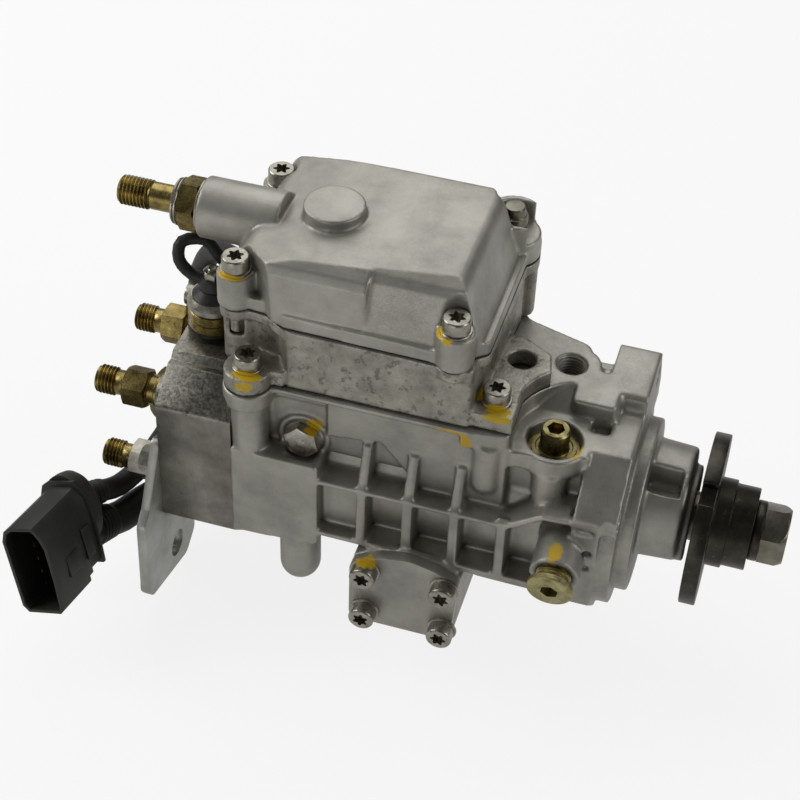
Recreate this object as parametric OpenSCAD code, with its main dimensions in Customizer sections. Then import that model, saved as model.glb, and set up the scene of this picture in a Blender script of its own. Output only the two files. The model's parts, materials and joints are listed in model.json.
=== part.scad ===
// Electronically controlled distributor injection pump for a four-cylinder diesel engine.
// The origin lies on the drive axis, in the front face of the mounting flange.
// +X points out of the drive end, +Z up through the actuator cover, -Y to the ribbed side.

/* [Drive end] */
// Diameter of the pilot disc that centres the pump in its bracket
pilot_d = 71; // [64:0.5:76]
// Length of the pilot disc
pilot_l = 6; // [4:0.5:8]
// Diameter of the shaft boss in front of the pilot disc
boss_d = 48; // [46:0.5:50]
// Height of the boss's middle above the drive axis
boss_z = 5.5; // [4:0.5:6]
// Distance from the flange face to the front of the shaft boss
boss_l = 22.3; // [18:0.1:26]
// Rounding of the boss's outer corner
boss_corner = 1.5; // [1:0.5:4]
// Outer diameter of the drip lip around the upper half of the seal
lip_d = 41; // [36:0.5:44]
// Length of the drip lip
lip_l = 3; // [1:0.5:4]
// Diameter of the drive shaft
shaft_d = 20; // [16:0.5:21]
// Wall of the shaft bushes
bush_t = 2; // [1:0.25:3]
// Outer diameter of the shaft seal
seal_d = 30; // [28:0.5:32]
// Length of the shaft seal
seal_l = 7; // [5:0.5:8]
// Gap between the drip lip and the hub
hub_gap = 1.7; // [0.5:0.1:2]
// Diameter of the hub disc
hub_d = 70; // [60:0.5:70]
// Thickness of the hub disc
hub_t = 6.5; // [5:0.5:9]
// Diameter of the hub's collar
collar_d = 36; // [34:0.5:40]
// Length of the hub's collar
collar_l = 6.5; // [4:0.5:9]
// Diameter of the hub's neck behind the nut
neck_d = 33.5; // [31:0.5:36]
// Length of the hub's neck
neck_l = 9.3; // [6:0.1:12]
// Pitch circle of the three threaded holes in the hub disc
hub_pcd = 52; // [50:0.5:56]
// Diameter of the threaded holes in the hub disc
hub_hole_d = 6.8; // [5:0.1:8.5]
// Width of the timing notch in the hub's rim
notch_w = 8.6; // [5:0.1:10]
// Depth of the timing notch in the hub's rim
notch_depth = 6; // [3:0.5:7]
// Diameter of the washer under the shaft nut
washer_d = 24.5; // [23:0.5:30]
// Thickness of the washer under the shaft nut
washer_t = 3.7; // [2:0.1:5]
// Width across flats of the shaft nut
nut_af = 22; // [20:0.5:24]
// Length of the shaft nut
nut_l = 10; // [8:0.5:14]
// Diameter of the shaft's threaded end
stub_d = 14; // [12:0.5:15]

/* [Flange] */
// Thickness of the mounting flange
flange_t = 17; // [12:0.5:20]
// Half width of the mounting flange
flange_y = 43.5; // [41:0.5:46]
// Distance of the flange top's far corner from the axis plane
top_far_y = 33; // [31:0.5:35]
// Diameter of the three mounting holes
mount_hole_d = 8.5; // [6:0.1:9]

/* [Housing] */
// Distance from the flange face to the joint with the distributor head
body_l = 155.5; // [150:0.5:162]
// Diameter of the housing barrel
barrel_d = 70; // [67:0.5:72]
// Diameter of the cavity behind the roller ring
cavity_d = 62; // [60:0.5:63]
// Height of the machined deck above the drive axis
deck_z = 52.5; // [50:0.5:56]
// Thickness of the deck's rim
deck_t = 8; // [6:0.5:10]
// Thickness of the ledge between the deck's two near ears
ledge_t = 2.5; // [2:0.5:4]
// Drop of the lower deck around the adjusting screw
deck_drop = 8; // [6:0.5:9]
// Half width of the deck
deck_y = 37; // [36:0.5:39]
// Half width of the housing's upper walls
wall_y = 34.5; // [33.5:0.5:35.5]
// Half width of the housing over the side belt
belt_y = 43.5; // [42:0.5:45]
// Top of the side belt
belt_top = 14.5; // [12:0.5:18]
// Bottom of the side belt
belt_bottom = -16.3; // [-20:0.1:-13]
// Thickness of the belt's rails
rail_t = 2.2; // [1.5:0.1:3]
// Width of the belt's ribs
rib_w = 4; // [3:0.5:6]
// Pitch of the belt's ribs
rib_pitch = 19; // [17:0.5:20]
// Place of the first rib
rib_x = -101; // [-103:0.5:-99]
// Half width of the window under the actuator
window_y = 18; // [14:0.5:20]

/* [Timing device] */
// Place of the timing piston's axis along the pump
timing_x = -79.5; // [-82:0.5:-77]
// Height of the timing piston's axis
timing_z = -40; // [-41:0.25:-39.5]
// Diameter of the timing piston
timing_d = 21; // [18:0.5:21]
// Length of the timing piston
timing_l = 50; // [44:1:56]
// Half width of the timing housing, without covers
timing_y = 45; // [43:0.5:48]
// Height of the timing housing's underside
timing_bottom = -53; // [-56:0.5:-52.5]
// Thickness of a timing cover
timing_cover_t = 5; // [3:0.5:7]
// Distance of the cover's screws from its middle, along the pump
timing_screw_x = 16.5; // [15:0.5:18]
// Distance of the cover's screws from its middle, in height
timing_screw_z = 12; // [10:0.5:13]

/* [Supply pump] */
// Outer diameter of the supply pump's ring, and of the roller ring
ring_d = 56; // [54:0.5:58]
// Length of the supply pump's ring
supply_l = 12; // [9:0.5:14]
// Diameter of the supply pump's rotor
rotor_d = 36; // [32:0.5:38]
// Eccentricity of the supply pump's ring
supply_offset = 2.5; // [1.5:0.25:3]
// Width of a vane
vane_t = 3; // [2:0.25:4]

/* [Cam drive] */
// Width of the roller ring
ring_w = 14; // [12:0.5:16]
// Diameter of a roller
roller_d = 14; // [12:0.5:15]
// Length of a roller
roller_l = 9; // [7:0.5:10]
// Diameter of a roller's pin
roller_pin_d = 5; // [4:0.5:6]
// Diameter of the cam plate
cam_d = 52; // [48:0.5:54]
// Lift of the cam plate's lobes
cam_lift = 2.9; // [2:0.1:3.5]
// Thickness of the cam plate under its lobes
cam_t = 6; // [5:0.5:8]
// Diameter of the pumping plunger
plunger_d = 10; // [8:0.5:11]
// Diameter of the control collar
control_d = 18; // [16:0.5:22]
// Length of the control collar
control_l = 12; // [10:0.5:14]
// Distance of each plunger spring from the plunger
spring_y = 20; // [18:0.5:21]
// Outer diameter of a plunger spring
plunger_spring_d = 11; // [9:0.5:12]

/* [Distributor head] */
// Length of the distributor head
head_l = 31.5; // [28:0.5:34]
// Half width of the distributor head
head_y = 42; // [40:0.5:44]
// Height of the head's top face
head_z = 46; // [45:0.5:48]
// Pitch circle of the four outlets
outlet_pcd = 59; // [56:0.5:62]
// Thread diameter of an outlet
outlet_d = 12; // [10:0.5:14]
// Length of an outlet's thread
outlet_thread_l = 12; // [9:0.5:16]
// Width across flats of an outlet
outlet_af = 15; // [14:0.5:17]
// Distance from the head's rear face to the back of an outlet's hexagon
outlet_neck_l = 11; // [8:0.5:14]
// Length of an outlet's hexagon
outlet_hex_l = 11; // [8:0.5:13]
// Width across flats of the central plug
plug_af = 24; // [22:0.5:27]

/* [Actuator] */
// Height of the actuator housing
act_h = 29; // [26:0.5:32]
// Half-width of the actuator housing on its near side
act_near = 35.4; // [35:0.1:37]
// Distance of the actuator housing's far wall from the drive axis
act_far = 44; // [42:0.5:46]
// Thickness of the actuator housing's foot
foot_t = 8; // [6:0.5:10]
// Thickness of a gasket
gasket_t = 0.6; // [0.3:0.1:1]
// Wall of the actuator housing and its cover
act_wall = 5; // [4:0.5:6]
// Height of the cover's flange
cover_flange_h = 6; // [4:0.5:7]
// Height of the cover's top over its joint, at the drive end
cover_h = 31; // [29:0.5:33]
// Height of the cover's screw columns over its joint
ear_h = 15; // [13:0.5:16]
// Diameter of the pan heads
screw_head_d = 10.7; // [9:0.1:12]
// Thread diameter of the pan-head screws
screw_d = 6; // [5:0.5:6.5]
// Height of a pan head with its washer
screw_head_h = 6.5; // [5:0.5:7.5]
// Diameter of the return tube on the cover
tube_d = 24.4; // [22:0.2:26]
// Thread diameter of the return fitting
return_d = 12; // [10:0.5:14]
// Eccentricity of the ball that moves the control collar
ball_offset = 4; // [3:0.25:5]
// Half of the actuator's angle of travel
act_half = 30; // [20:1:35]

/* [Rear bracket] */
// Thickness of the rear bracket
bracket_t = 4; // [3:0.5:6]
// Diameter of the bracket's mounting hole
bracket_hole_d = 12; // [8:0.5:13]

/* [Hidden] */
$fn = 48;

// Colours
cast_colour = "#9a978c";
steel_colour = "#77746a";
bright_colour = "#b0ada5";
olive_colour = "#8a7a3a";
black_colour = "#26251f";

// Clearances
run_gap = 0.03;
seat_gap = 0.02;
free_gap = 0.3;
cut = 1;

// Drive end, counted from the flange face
hub_x = boss_l + lip_l + hub_gap;
collar_x = hub_x + hub_t;
neck_x = collar_x + collar_l;
washer_x = neck_x + neck_l;
nut_x = washer_x + washer_t;
shaft_end_x = nut_x + nut_l - 1;
key_x = 38;
boss_taper = 0.8;
bush_d = shaft_d + 2 * bush_t;
seal_x = boss_l - seal_l;

// Supply pump
supply_x = -23 - supply_l;
plate_t = 3.5;
plate_x = supply_x - plate_t;
supply_bore_d = rotor_d + 2 * supply_offset + 0.2;
supply_front_x = supply_x + supply_l;

// Roller ring and cam plate
ring_x = timing_x - ring_w / 2;
contact_x = ring_x - roller_d / 2;
crest_x = contact_x - run_gap;
valley_x = crest_x - cam_lift;
cam_rear_x = valley_x - cam_t;
roller_mid_r = ring_d / 2 - 7.5;
claw_in_r = 7.1;
claw_out_r = 13;
claw_w = 8;
disc_x = ring_x - 5.5;
disc_t = 6;
shaft_rear_x = ring_x + ring_w - 2;
foot_l = 3;
bridge_t = 4;
bridge_x = cam_rear_x - foot_l - bridge_t;
act_x = -128;
act_y = ball_offset;
collar_x0 = act_x + ball_offset * sin(act_half);
ball_z = control_d / 2 - 0.7;
ball_r = 2.2;
timing_pin_r = 4;

// Head and joint planes
head_x = -body_l - head_l;
split_z = deck_z + act_h;
floor_z = deck_z + foot_t - 2;
low_z = deck_z - deck_drop;
ear_z = split_z + ear_h;
cover_z = split_z + cover_h;
guide_d = 5;
outlet_r = outlet_pcd / 2;
outlet_turns = [45, 135, 225, 315];
plunger_end_x = -body_l - 17;
solenoid_x = -body_l - 20.5;
solenoid_bore_z = head_z - 2;
solenoid_y = -3;
valve_d = 7;
valve_l = 7;
valve_seat_x = head_x + 14;
spring_seat_x = head_x - 7;
valve_spring_l = valve_seat_x - valve_l - spring_seat_x;
regulator_spring_l = 7;

// Screw places
screw_a = [-157.6, -24.2];
screw_b = [-69.5, -31.9];
screw_c = [-160, 33.9];
screw_g = [-66, 40];
foot_e = [-149.3, -36.3];
foot_f = [-54, -24.3];
side_bolt_at = [act_x, -33, 26.5];
timing_screw_mid_z = -34;
bracket_bolts_at = [[-36.5, -3], [-36, -27]];
gland_at = [20, 64];
grommet_at = [4, 73];
head_bolts_at = [[28, 33], [33, -28]];
head_pad_l = 8;
mount_holes_at = [[-36, 23.5], [32, 41], [37, -34]];
counterbore_at = [-30.6, -21.2];
column_y = 31;
pad_near_y = -6.3;
ramp_y = 5;
arc_mid = [-15.7, -24];
arc_r = 31.3;
inlet_at = [-32.7, 14.3];
inlet_d = 12;

// Adjusting plug, square to a boss that leans down from -Y
plug_at = [-20, -43.5, 6];
plug_lean = 11;
plug_boss_l = 10;

// Return tube
tube_y = 5;
tube_z = deck_z + 47;
tube_end_x = -181;

// Routes of the two leads, from their glands to the connector
main_points = [
    [-168, 20, 64], [-172, 20, 64], [-176, 20, 64], [-188, 29, 58], [-198, 38, 40],
    [-203, 42, 16], [-205, 41, -8],
    [-207, 35, -28], [-209, 22, -37], [-210, 6, -38], [-211, -10, -37], [-215, -25, -36],
    [-220, -35, -32], [-223, -43, -29]
];
main_d = 9.5;
timing_points = [
    [-127, 26, -42], [-131, 26, -42], [-135, 26, -43], [-150, 25, -50], [-170, 20, -51], [-188, 9, -51],
    [-199, -5, -50], [-207, -19, -49], [-212, -31, -48], [-216, -38, -46], [-219, -46, -43]
];
timing_lead_d = 14;
cable_points = [
    [-179, -3, 69.6], [-185, -3, 71], [-190, -3, 77], [-190, 1, 83], [-182, 5, 83], [-176, 5, 76],
    [-171, 4, 73], [-168, 4, 73]
];
cable_d = 5;
connector_at = [-221.5, -45, -35];
connector_turn = [-12, -17.5, -1];

// Rounded outlines: each point is [x, y, radius]
function xy(p) = [p.x, p.y];
function unit(v) = v / norm(v);
function short_turn(t) = t > 180 ? t - 360 : (t < -180 ? t + 360 : t);
function corner(a, p, b, r, n) =
    r == 0 ? [p] :
    let (
        u = unit(a - p),
        w = unit(b - p),
        half = acos(u * w) / 2,
        centre = p + unit(u + w) * r / sin(half),
        first = p + u * r / tan(half) - centre,
        last = p + w * r / tan(half) - centre,
        start = atan2(first.y, first.x),
        sweep = short_turn(atan2(last.y, last.x) - start)
    )
    [for (i = [0:n]) centre + r * [cos(start + sweep * i / n), sin(start + sweep * i / n)]];
function rounded(pts, n = 5) = [
    for (i = [0:len(pts) - 1])
        each corner(
            xy(pts[(i + len(pts) - 1) % len(pts)]), xy(pts[i]), xy(pts[(i + 1) % len(pts)]),
            pts[i].z, n
        )
];

// Solids swept along a path, as one closed polyhedron
function tangent(path, i) =
    unit(path[min(i + 1, len(path) - 1)] - path[max(i - 1, 0)]);
function side_of(t, hint) = unit(cross(cross(t, hint), t));
function sides(path, i, hint) =
    i == 0 ? [side_of(tangent(path, 0), hint)] :
    let (before = sides(path, i - 1, hint))
    concat(before, [side_of(tangent(path, i), before[i - 1])]);
module sweep_tube(path, r, n, hint = [0, 0, 1]) {
    frames = sides(path, len(path) - 1, hint);
    points = [
        for (i = [0:len(path) - 1], k = [0:n - 1])
            let (t = tangent(path, i), u = frames[i], w = cross(t, u))
            path[i] + r * (cos(360 * k / n) * u + sin(360 * k / n) * w)
    ];
    walls = [
        for (i = [0:len(path) - 2], k = [0:n - 1])
            let (a = i * n + k, b = i * n + (k + 1) % n)
            each [[a, a + n, b], [b, a + n, b + n]]
    ];
    last = (len(path) - 1) * n;
    polyhedron(
        points,
        concat(walls, [[for (k = [0:n - 1]) k]], [[for (k = [n - 1:-1:0]) last + k]]),
        convexity = 6
    );
}
function spline(a, b, c, d, t) =
    0.5 * (2 * b + (c - a) * t + (2 * a - 5 * b + 4 * c - d) * t * t
    + (3 * b - a - 3 * c + d) * t * t * t);
function smooth_path(pts, steps) = [
    for (i = [0:len(pts) - 2], s = [0:steps - 1])
        spline(
            pts[max(i - 1, 0)], pts[i], pts[i + 1], pts[min(i + 2, len(pts) - 1)], s / steps
        ),
    pts[len(pts) - 1]
];
function helix(r, l, turns, n) = [
    for (i = [0:turns * n]) [r * cos(360 * i / n), r * sin(360 * i / n), l * i / (turns * n)]
];
// Coil spring standing on z = 0, its length measured over the wire
module coil(d, l, wire, turns, steps = 12) {
    translate([0, 0, wire / 2])
        sweep_tube(helix((d - wire) / 2, l - wire, turns, steps), wire / 2, 6);
}

// Places of the timing covers' screws, x and z being -1 or 1
function timing_screw_at(x, z) =
    [timing_x + x * timing_screw_x, 0, timing_screw_mid_z + z * timing_screw_z];

// Placing along the axes
module along_x(x = 0) {
    translate([x, 0, 0])
        rotate([0, 90, 0])
            children();
}
module along_y(at) {
    translate(at)
        rotate([-90, 0, 0])
            children();
}
// Extrudes an outline drawn in [y, z] from x0 to x1
module yz_prism(x0, x1) {
    translate([x0, 0, 0])
        rotate([90, 0, 90])
            linear_extrude(x1 - x0)
                children();
}
// Extrudes an outline drawn in [x, z] from y0 to y1
module xz_prism(y0, y1) {
    translate([0, y1, 0])
        rotate([90, 0, 0])
            linear_extrude(y1 - y0)
                children();
}
// Extrudes an outline drawn in [x, y] from z0 to z1
module xy_prism(z0, z1) {
    translate([0, 0, z0])
        linear_extrude(z1 - z0)
            children();
}
module box(low, high) {
    translate(low)
        cube(high - low);
}
// Cylinder along X at [y, z]
module rod_x(x0, x1, r, at = [0, 0]) {
    translate([x0, at.x, at.y])
        rotate([0, 90, 0])
            cylinder(r = r, h = x1 - x0);
}
// Cylinder along Y at [x, z]
module rod_y(y0, y1, r, at) {
    translate([at.x, y0, at.y])
        rotate([-90, 0, 0])
            cylinder(r = r, h = y1 - y0);
}
// Cylinder along Z at [x, y]
module rod_z(z0, z1, r, at) {
    translate([at.x, at.y, z0])
        cylinder(r = r, h = z1 - z0);
}
module hexagon(af) {
    circle(r = af / sqrt(3), $fn = 6);
}
// Hexagon along Z with its corners turned off at the far end
module hex_prism(af, h, chamfered = true) {
    intersection() {
        linear_extrude(h)
            hexagon(af);
        if (chamfered)
            union() {
                cylinder(r = af / sqrt(3) + cut, h = h * 0.7);
                translate([0, 0, h * 0.7 - 0.01])
                    cylinder(r1 = af / sqrt(3), r2 = af / 2 - 0.2, h = h * 0.3 + 0.02);
            }
        else
            cylinder(r = af, h = h);
    }
}

// Housing
module flange_outline() {
    polygon(rounded([
        [-flange_y, -19, 3], [-24, -40, 4], [22, -41, 6], [33, -46, 8], [48, -38, 8],
        [flange_y + 3, -20, 6], [flange_y + 1, 30, 8], [top_far_y, deck_z, 3],
        [pad_near_y, deck_z, 1], [pad_near_y, low_z, 0], [-23, low_z, 2], [-flange_y, 26, 3]
    ]));
}
module pilot_and_boss() {
    r = boss_d / 2 - boss_corner - boss_taper;
    rod_x(-flange_t, pilot_l, pilot_d / 2);
    translate([0, 0, boss_z])
        along_x()
            rotate_extrude()
                polygon(concat(
                    [[0, 0], [boss_d / 2, 0], [boss_d / 2, pilot_l]],
                    [for (a = [0:15:90])
                        [r + boss_corner * cos(a), boss_l - boss_corner + boss_corner * sin(a)]],
                    [[0, boss_l]]
                ));
    intersection() {
        rod_x(boss_l - cut, boss_l + lip_l, lip_d / 2);
        box([boss_l - cut, -lip_d, -8], [boss_l + lip_l, lip_d, lip_d]);
    }
}
module belt_rib(x, top) {
    yz_prism(x - rib_w / 2, x + rib_w / 2)
        polygon([
            [-20, belt_bottom + 0.5], [-belt_y, belt_bottom + 0.5], [-belt_y, belt_top - 0.5],
            [-belt_y + 2, belt_top + 2], [-wall_y - 1.5, top], [-wall_y + 1, top], [-20, top]
        ]);
}
// Belt with its rails and ribs on the near side, from the corner block to the flange
module side_belt() {
    xz_prism(-belt_y, -24)
        polygon([
            [-120, belt_top - rail_t], [-42, belt_top - rail_t], [-28, 21.8], [-flange_t + cut, 22.5],
            [-flange_t + cut, 24.7], [-29, 24], [-42.8, belt_top], [-120, belt_top]
        ]);
    xz_prism(-belt_y, -24)
        polygon([
            [-120, belt_bottom], [-flange_t + cut, belt_bottom - 2],
            [-flange_t + cut, belt_bottom + rail_t - 2], [-34, belt_bottom + rail_t],
            [-120, belt_bottom + rail_t]
        ]);
    for (i = [0:3])
        belt_rib(rib_x + i * rib_pitch, i == 3 ? belt_top - 4 : 32.5);
    box([-120, -36.8, belt_bottom + 1], [rib_x, -20, belt_top - 1]);
}
module deck_outline() {
    polygon(rounded([
        [-body_l, -30, 0], [foot_e.x - 4, -deck_y, 3], [-62, -deck_y, 3], [-46, -34.5, 2],
        [-44, -18, 0], [-flange_t + cut, -18, 0], [-flange_t + cut, 14, 0], [-21.5, 14, 3],
        [-28, 28, 6], [-55, 36, 6], [-60, deck_y + 6, 3], [-body_l + 3, deck_y + 4, 4],
        [-body_l, 30, 0]
    ]));
    translate(foot_e)
        circle(r = 10);
    translate(inlet_at)
        circle(r = 12);
}
module low_outline() {
    polygon(rounded([
        [-48, -34, 1], [-38, -33, 3], [-19, -28, 4], [-flange_t + cut, -22, 0],
        [-flange_t + cut, 10, 0], [-48, 10, 0]
    ]));
    translate(counterbore_at)
        circle(r = 13.8);
}
// Room over the lower deck: under the arc of the actuator's foot, behind the ramp's foot, round the pad
module low_room() {
    difference() {
        intersection() {
            xy_prism(low_z, deck_z + cut)
                union() {
                    translate(arc_mid)
                        circle(r = arc_r);
                    translate([arc_mid.x, -60])
                        square([20, 80]);
                }
            yz_prism(-60, cut)
                polygon([
                    [-60, low_z - cut], [ramp_y - 12, low_z - cut], [ramp_y - 12, low_z], [ramp_y, deck_z],
                    [ramp_y, deck_z + 2], [-60, deck_z + 2]
                ]);
        }
        xy_prism(low_z - cut, deck_z + 3)
            polygon(rounded([
                [-28, pad_near_y, 2], [-10.5, pad_near_y, 2], [-11, 20, 0], [-28.5, 20, 0]
            ]));
    }
    // Step in the flange's top and the pit beside the pad
    yz_prism(-10, cut)
        polygon(rounded([[3, deck_z + cut, 0], [2, low_z, 3], [-60, low_z, 0], [-60, deck_z + cut, 0]]));
    box([-19, -12.2, low_z - 5], [-11.2, pad_near_y, low_z + cut]);
}
module timing_housing() {
    xz_prism(-timing_y, timing_y)
        polygon(rounded([
            [timing_x - 23.5, timing_bottom, 2], [timing_x + 20, timing_bottom, 2],
            [timing_x + 21.7, -20, 0], [timing_x + 18, -17.5, 0], [timing_x - 18, -17.5, 0],
            [timing_x - 23.5, -21, 2]
        ]));
    for (side = [0, 1])
        mirror([0, side, 0])
            xz_prism(-timing_y, -timing_y + 3)
                timing_cover_outline();
}
module housing_solid() {
    yz_prism(-flange_t, -pilot_l)
        flange_outline();
    intersection() {
        yz_prism(-pilot_l - cut, 0)
            flange_outline();
        union() {
            rod_x(-pilot_l - cut, 0, 42);
            box([-pilot_l - cut, -cut, 20], [0, 60, 80]);
            box([-pilot_l - cut, 20, -60], [0, 60, -20]);
            box([-pilot_l - cut, -42, 20], [0, 0, 60]);
        }
    }
    pilot_and_boss();
    rod_x(-body_l, -flange_t + cut, barrel_d / 2);
    box([-body_l, -28.5, 0], [-88, 29, deck_z - 2]);
    box([foot_e.x + 2, -31.5, 20], [-88, 0, deck_z - 2]);
    // Upper band of the near wall, with the slope down to the belt
    xz_prism(-wall_y, -20)
        polygon([
            [-118, 31], [-96, 34], [-84, 20], [-84, 0], [-46, 0], [-46, deck_z - deck_t + cut],
            [-60, deck_z - 2], [-118, deck_z - 2]
        ]);
    box([-88 - cut, -28, 0], [-flange_t + cut, 28, deck_z - deck_t + cut]);
    box([-flange_t - 12, -24, 0], [-flange_t + cut, 20, deck_z - 3]);
    xy_prism(deck_z - ledge_t, deck_z)
        deck_outline();
    xy_prism(deck_z - deck_t, deck_z - ledge_t + cut)
        difference() {
            deck_outline();
            translate([foot_e.x + 10, -60])
                square([-64 - foot_e.x - 10, 28]);
        }
    xy_prism(low_z - deck_t, low_z)
        low_outline();
    side_belt();
    mirror([0, 1, 0])
        side_belt();
    // Corner blocks at the head joint
    for (side = [0, 1])
        mirror([0, side, 0])
            xz_prism(-belt_y, -20)
                polygon(rounded([
                    [-body_l, -25, 0], [-119, -22.8, 3], [-119, 21, 2], [-body_l, 21, 0]
                ]));
    // Bottom boss
    rod_z(-41.5, 0, 8.5, [-129, -35]);
    translate([-129, -35, -41.5])
        sphere(r = 8.5);
    // Screw columns
    rod_z(20, deck_z - deck_t + cut, 7.5, foot_e);
    rod_z(26, deck_z - deck_t + cut, 6.75, [foot_f.x, -column_y]);
    translate([foot_f.x, -column_y, 26])
        sphere(r = 6.75);
    // Lobe and column under the adjusting screw
    translate([counterbore_at.x, counterbore_at.y, low_z - deck_t - 7])
        cylinder(r1 = 8, r2 = 13.8, h = 7.01);
    rod_z(23.5, low_z - deck_t, 6.5, [counterbore_at.x + 1, -column_y + 1.5]);
    translate([counterbore_at.x + 1, -column_y + 1.5, 23.5])
        sphere(r = 6.5);
    // Side bolt boss
    rod_y(side_bolt_at.y, -10, 10.5, [side_bolt_at.x, side_bolt_at.z]);
    // Boss of the adjusting plug
    translate(plug_at)
        rotate([90 + plug_lean, 0, 0])
            translate([0, 0, -20])
                cylinder(r = 9.8, h = 20 + plug_boss_l);
    timing_housing();
}
module pump_housing() {
    color(cast_colour)
    difference() {
        housing_solid();
        // Joint plane of the head, under the deck's overhang
        box([-body_l - 20, -70, -70], [-body_l, 70, head_z + 0.5]);
        // Cavity, bores of the bushes and the seal
        rod_x(-body_l - cut, ring_x - 11, cavity_d / 2);
        rod_x(ring_x - 12, supply_front_x, ring_d / 2 + run_gap);
        rod_x(supply_front_x - cut, seal_x, bush_d / 2 + seat_gap);
        rod_x(seal_x, boss_l + lip_l + cut, seal_d / 2 + seat_gap);
        // Window under the actuator
        box([act_x - 20, -window_y, 0], [act_x + 24, window_y, deck_z + cut]);
        low_room();
        // Cored pocket in the boss's upper near side
        yz_prism(pilot_l, boss_l - 3)
            polygon(rounded([[-5.5, 60, 0], [-5.5, 17.5, 2], [-15.5, 17.5, 2], [-16.5, 60, 0]]));
        // Timing bore, its slot to the cavity and the cover's tapped holes
        rod_y(-timing_y - cut, timing_y + cut, timing_d / 2 + run_gap, [timing_x, timing_z]);
        box([timing_x - 5, -11, timing_z], [timing_x + 5, 11, -20]);
        for (x = [-1, 1], z = [-1, 1], side = [-1, 1])
            rod_y(
                side * timing_y - 13, side * timing_y + 13, screw_d / 2 + seat_gap,
                [timing_screw_at(x, z).x, timing_screw_at(x, z).z]
            );
        // Mounting holes
        for (at = mount_holes_at)
            rod_x(-flange_t - cut, cut, mount_hole_d / 2, at);
        // Foot screws, inlet, counterbore
        for (at = [foot_e, foot_f])
            rod_z(deck_z - 16, deck_z + cut, screw_d / 2 + seat_gap, at);
        rod_z(deck_z - 16, deck_z + cut, inlet_d / 2, inlet_at);
        rod_z(low_z - 5.5, low_z + cut, 10.6, counterbore_at);
        rod_z(low_z - 20, low_z, 4 + seat_gap, counterbore_at);
        // Side bolt and adjusting plug
        rod_y(-40.5, side_bolt_at.y + 1.5, 8.5, [side_bolt_at.x, side_bolt_at.z]);
        rod_y(side_bolt_at.y, side_bolt_at.y + 16, 4 + seat_gap, [side_bolt_at.x, side_bolt_at.z]);
        translate(plug_at)
            rotate([90 + plug_lean, 0, 0])
                translate([0, 0, -11])
                    cylinder(r = 7 + seat_gap, h = 12 + plug_boss_l);
        // Head screws
        for (at = concat(head_bolts_at, bracket_bolts_at))
            rod_x(-body_l - cut, -body_l + 16, 3 + seat_gap, at);
        // Cast steps on the flange's near face
        for (z = [3, 11, 22])
            box([-flange_t + 1, -flange_y - cut, z - 3], [-pilot_l - 2, -flange_y + 1.2, z]);
    }
}

// Distributor head
module head_outline() {
    polygon(rounded([
        [-head_y, -27, 3], [-head_y, 33, 3], [-27, 43.6, 1], [-24, 43.2, 0.5], [-21, head_z, 1],
        [21, head_z, 1], [27, 43.6, 1], [head_y, 33, 3], [head_y, -27, 3], [27, -42, 4],
        [-27, -42, 4]
    ]));
}
module distributor_head() {
    color("#5a5854")
    difference() {
        union() {
            yz_prism(head_x, -body_l)
                head_outline();
            rod_x(head_x - head_pad_l, head_x + cut, 7, head_bolts_at[0]);
            for (turn = outlet_turns)
                rod_x(head_x - 6, head_x + cut, 9, outlet_r * [cos(turn), sin(turn)]);
            rod_x(head_x - 5, head_x + cut, 13, [0, 0]);
            // Guide pins of the plunger springs
            for (y = [-spring_y, spring_y])
                rod_x(-body_l - cut, bridge_x - 3, guide_d / 2, [y, 0]);
            rod_x(-body_l - cut, -body_l + 7, 9);
        }
        rod_x(plunger_end_x, -body_l + 8, plunger_d / 2 + run_gap);
        rod_x(head_x - 6, head_x + 10, 9 + seat_gap);
        for (turn = outlet_turns)
            rod_x(
                head_x - 7, valve_seat_x, outlet_d / 2 + 1 + seat_gap,
                outlet_r * [cos(turn), sin(turn)]
            );
        for (at = concat(head_bolts_at, bracket_bolts_at))
            rod_x(head_x - head_pad_l - cut, -body_l + cut, 3 + free_gap, at);
        rod_z(30, head_z + cut, 8 + seat_gap, [solenoid_x, solenoid_y]);
        rod_z(22, 31, 5.3, [solenoid_x, solenoid_y]);
        for (y = [-spring_y, spring_y])
            difference() {
                rod_x(-body_l - 3, -body_l + cut, plunger_spring_d / 2 + 1, [y, 0]);
                rod_x(-body_l - 4, -body_l + 2, guide_d / 2, [y, 0]);
            }
    }
}
module cap_screw(at, under_x, end_x) {
    rod_x(under_x, end_x, 3, at);
    difference() {
        rod_x(under_x - 6, under_x, 4.7, at);
        translate([under_x - 7, at.x, at.y])
            rotate([0, 90, 0])
                linear_extrude(4)
                    hexagon(5);
    }
}
module head_bolts() {
    color(bright_colour) {
        cap_screw(head_bolts_at[0], head_x - head_pad_l, -body_l + 15);
        cap_screw(head_bolts_at[1], head_x, -body_l + 15);
    }
}
module central_plug() {
    color(steel_colour) {
        rod_x(head_x - 10, head_x + 9, 9);
        rod_x(head_x - 10, head_x - 5, 11);
        translate([head_x - 10 + 0.01, 0, 0])
            rotate([0, -90, 0])
                hex_prism(plug_af, 8);
    }
}
module outlet_holder() {
    back_x = head_x - outlet_neck_l;
    hex_x = back_x - outlet_hex_l;
    difference() {
        union() {
            rod_x(hex_x - outlet_thread_l, hex_x + cut, outlet_d / 2);
            translate([back_x, 0, 0])
                rotate([0, -90, 0])
                    hex_prism(outlet_af, outlet_hex_l);
            rod_x(back_x - cut, head_x - 6, outlet_d / 2 + 0.8);
            rod_x(head_x - 6 - cut, valve_seat_x, outlet_d / 2 + 1);
        }
        rod_x(spring_seat_x, valve_seat_x + cut, valve_d / 2 + run_gap);
        rod_x(hex_x - outlet_thread_l - cut, spring_seat_x + cut, 1.2);
        translate([hex_x - outlet_thread_l - 0.01, 0, 0])
            rotate([0, 90, 0])
                cylinder(r1 = 3.4, r2 = 1.2, h = 4);
    }
}
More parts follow.
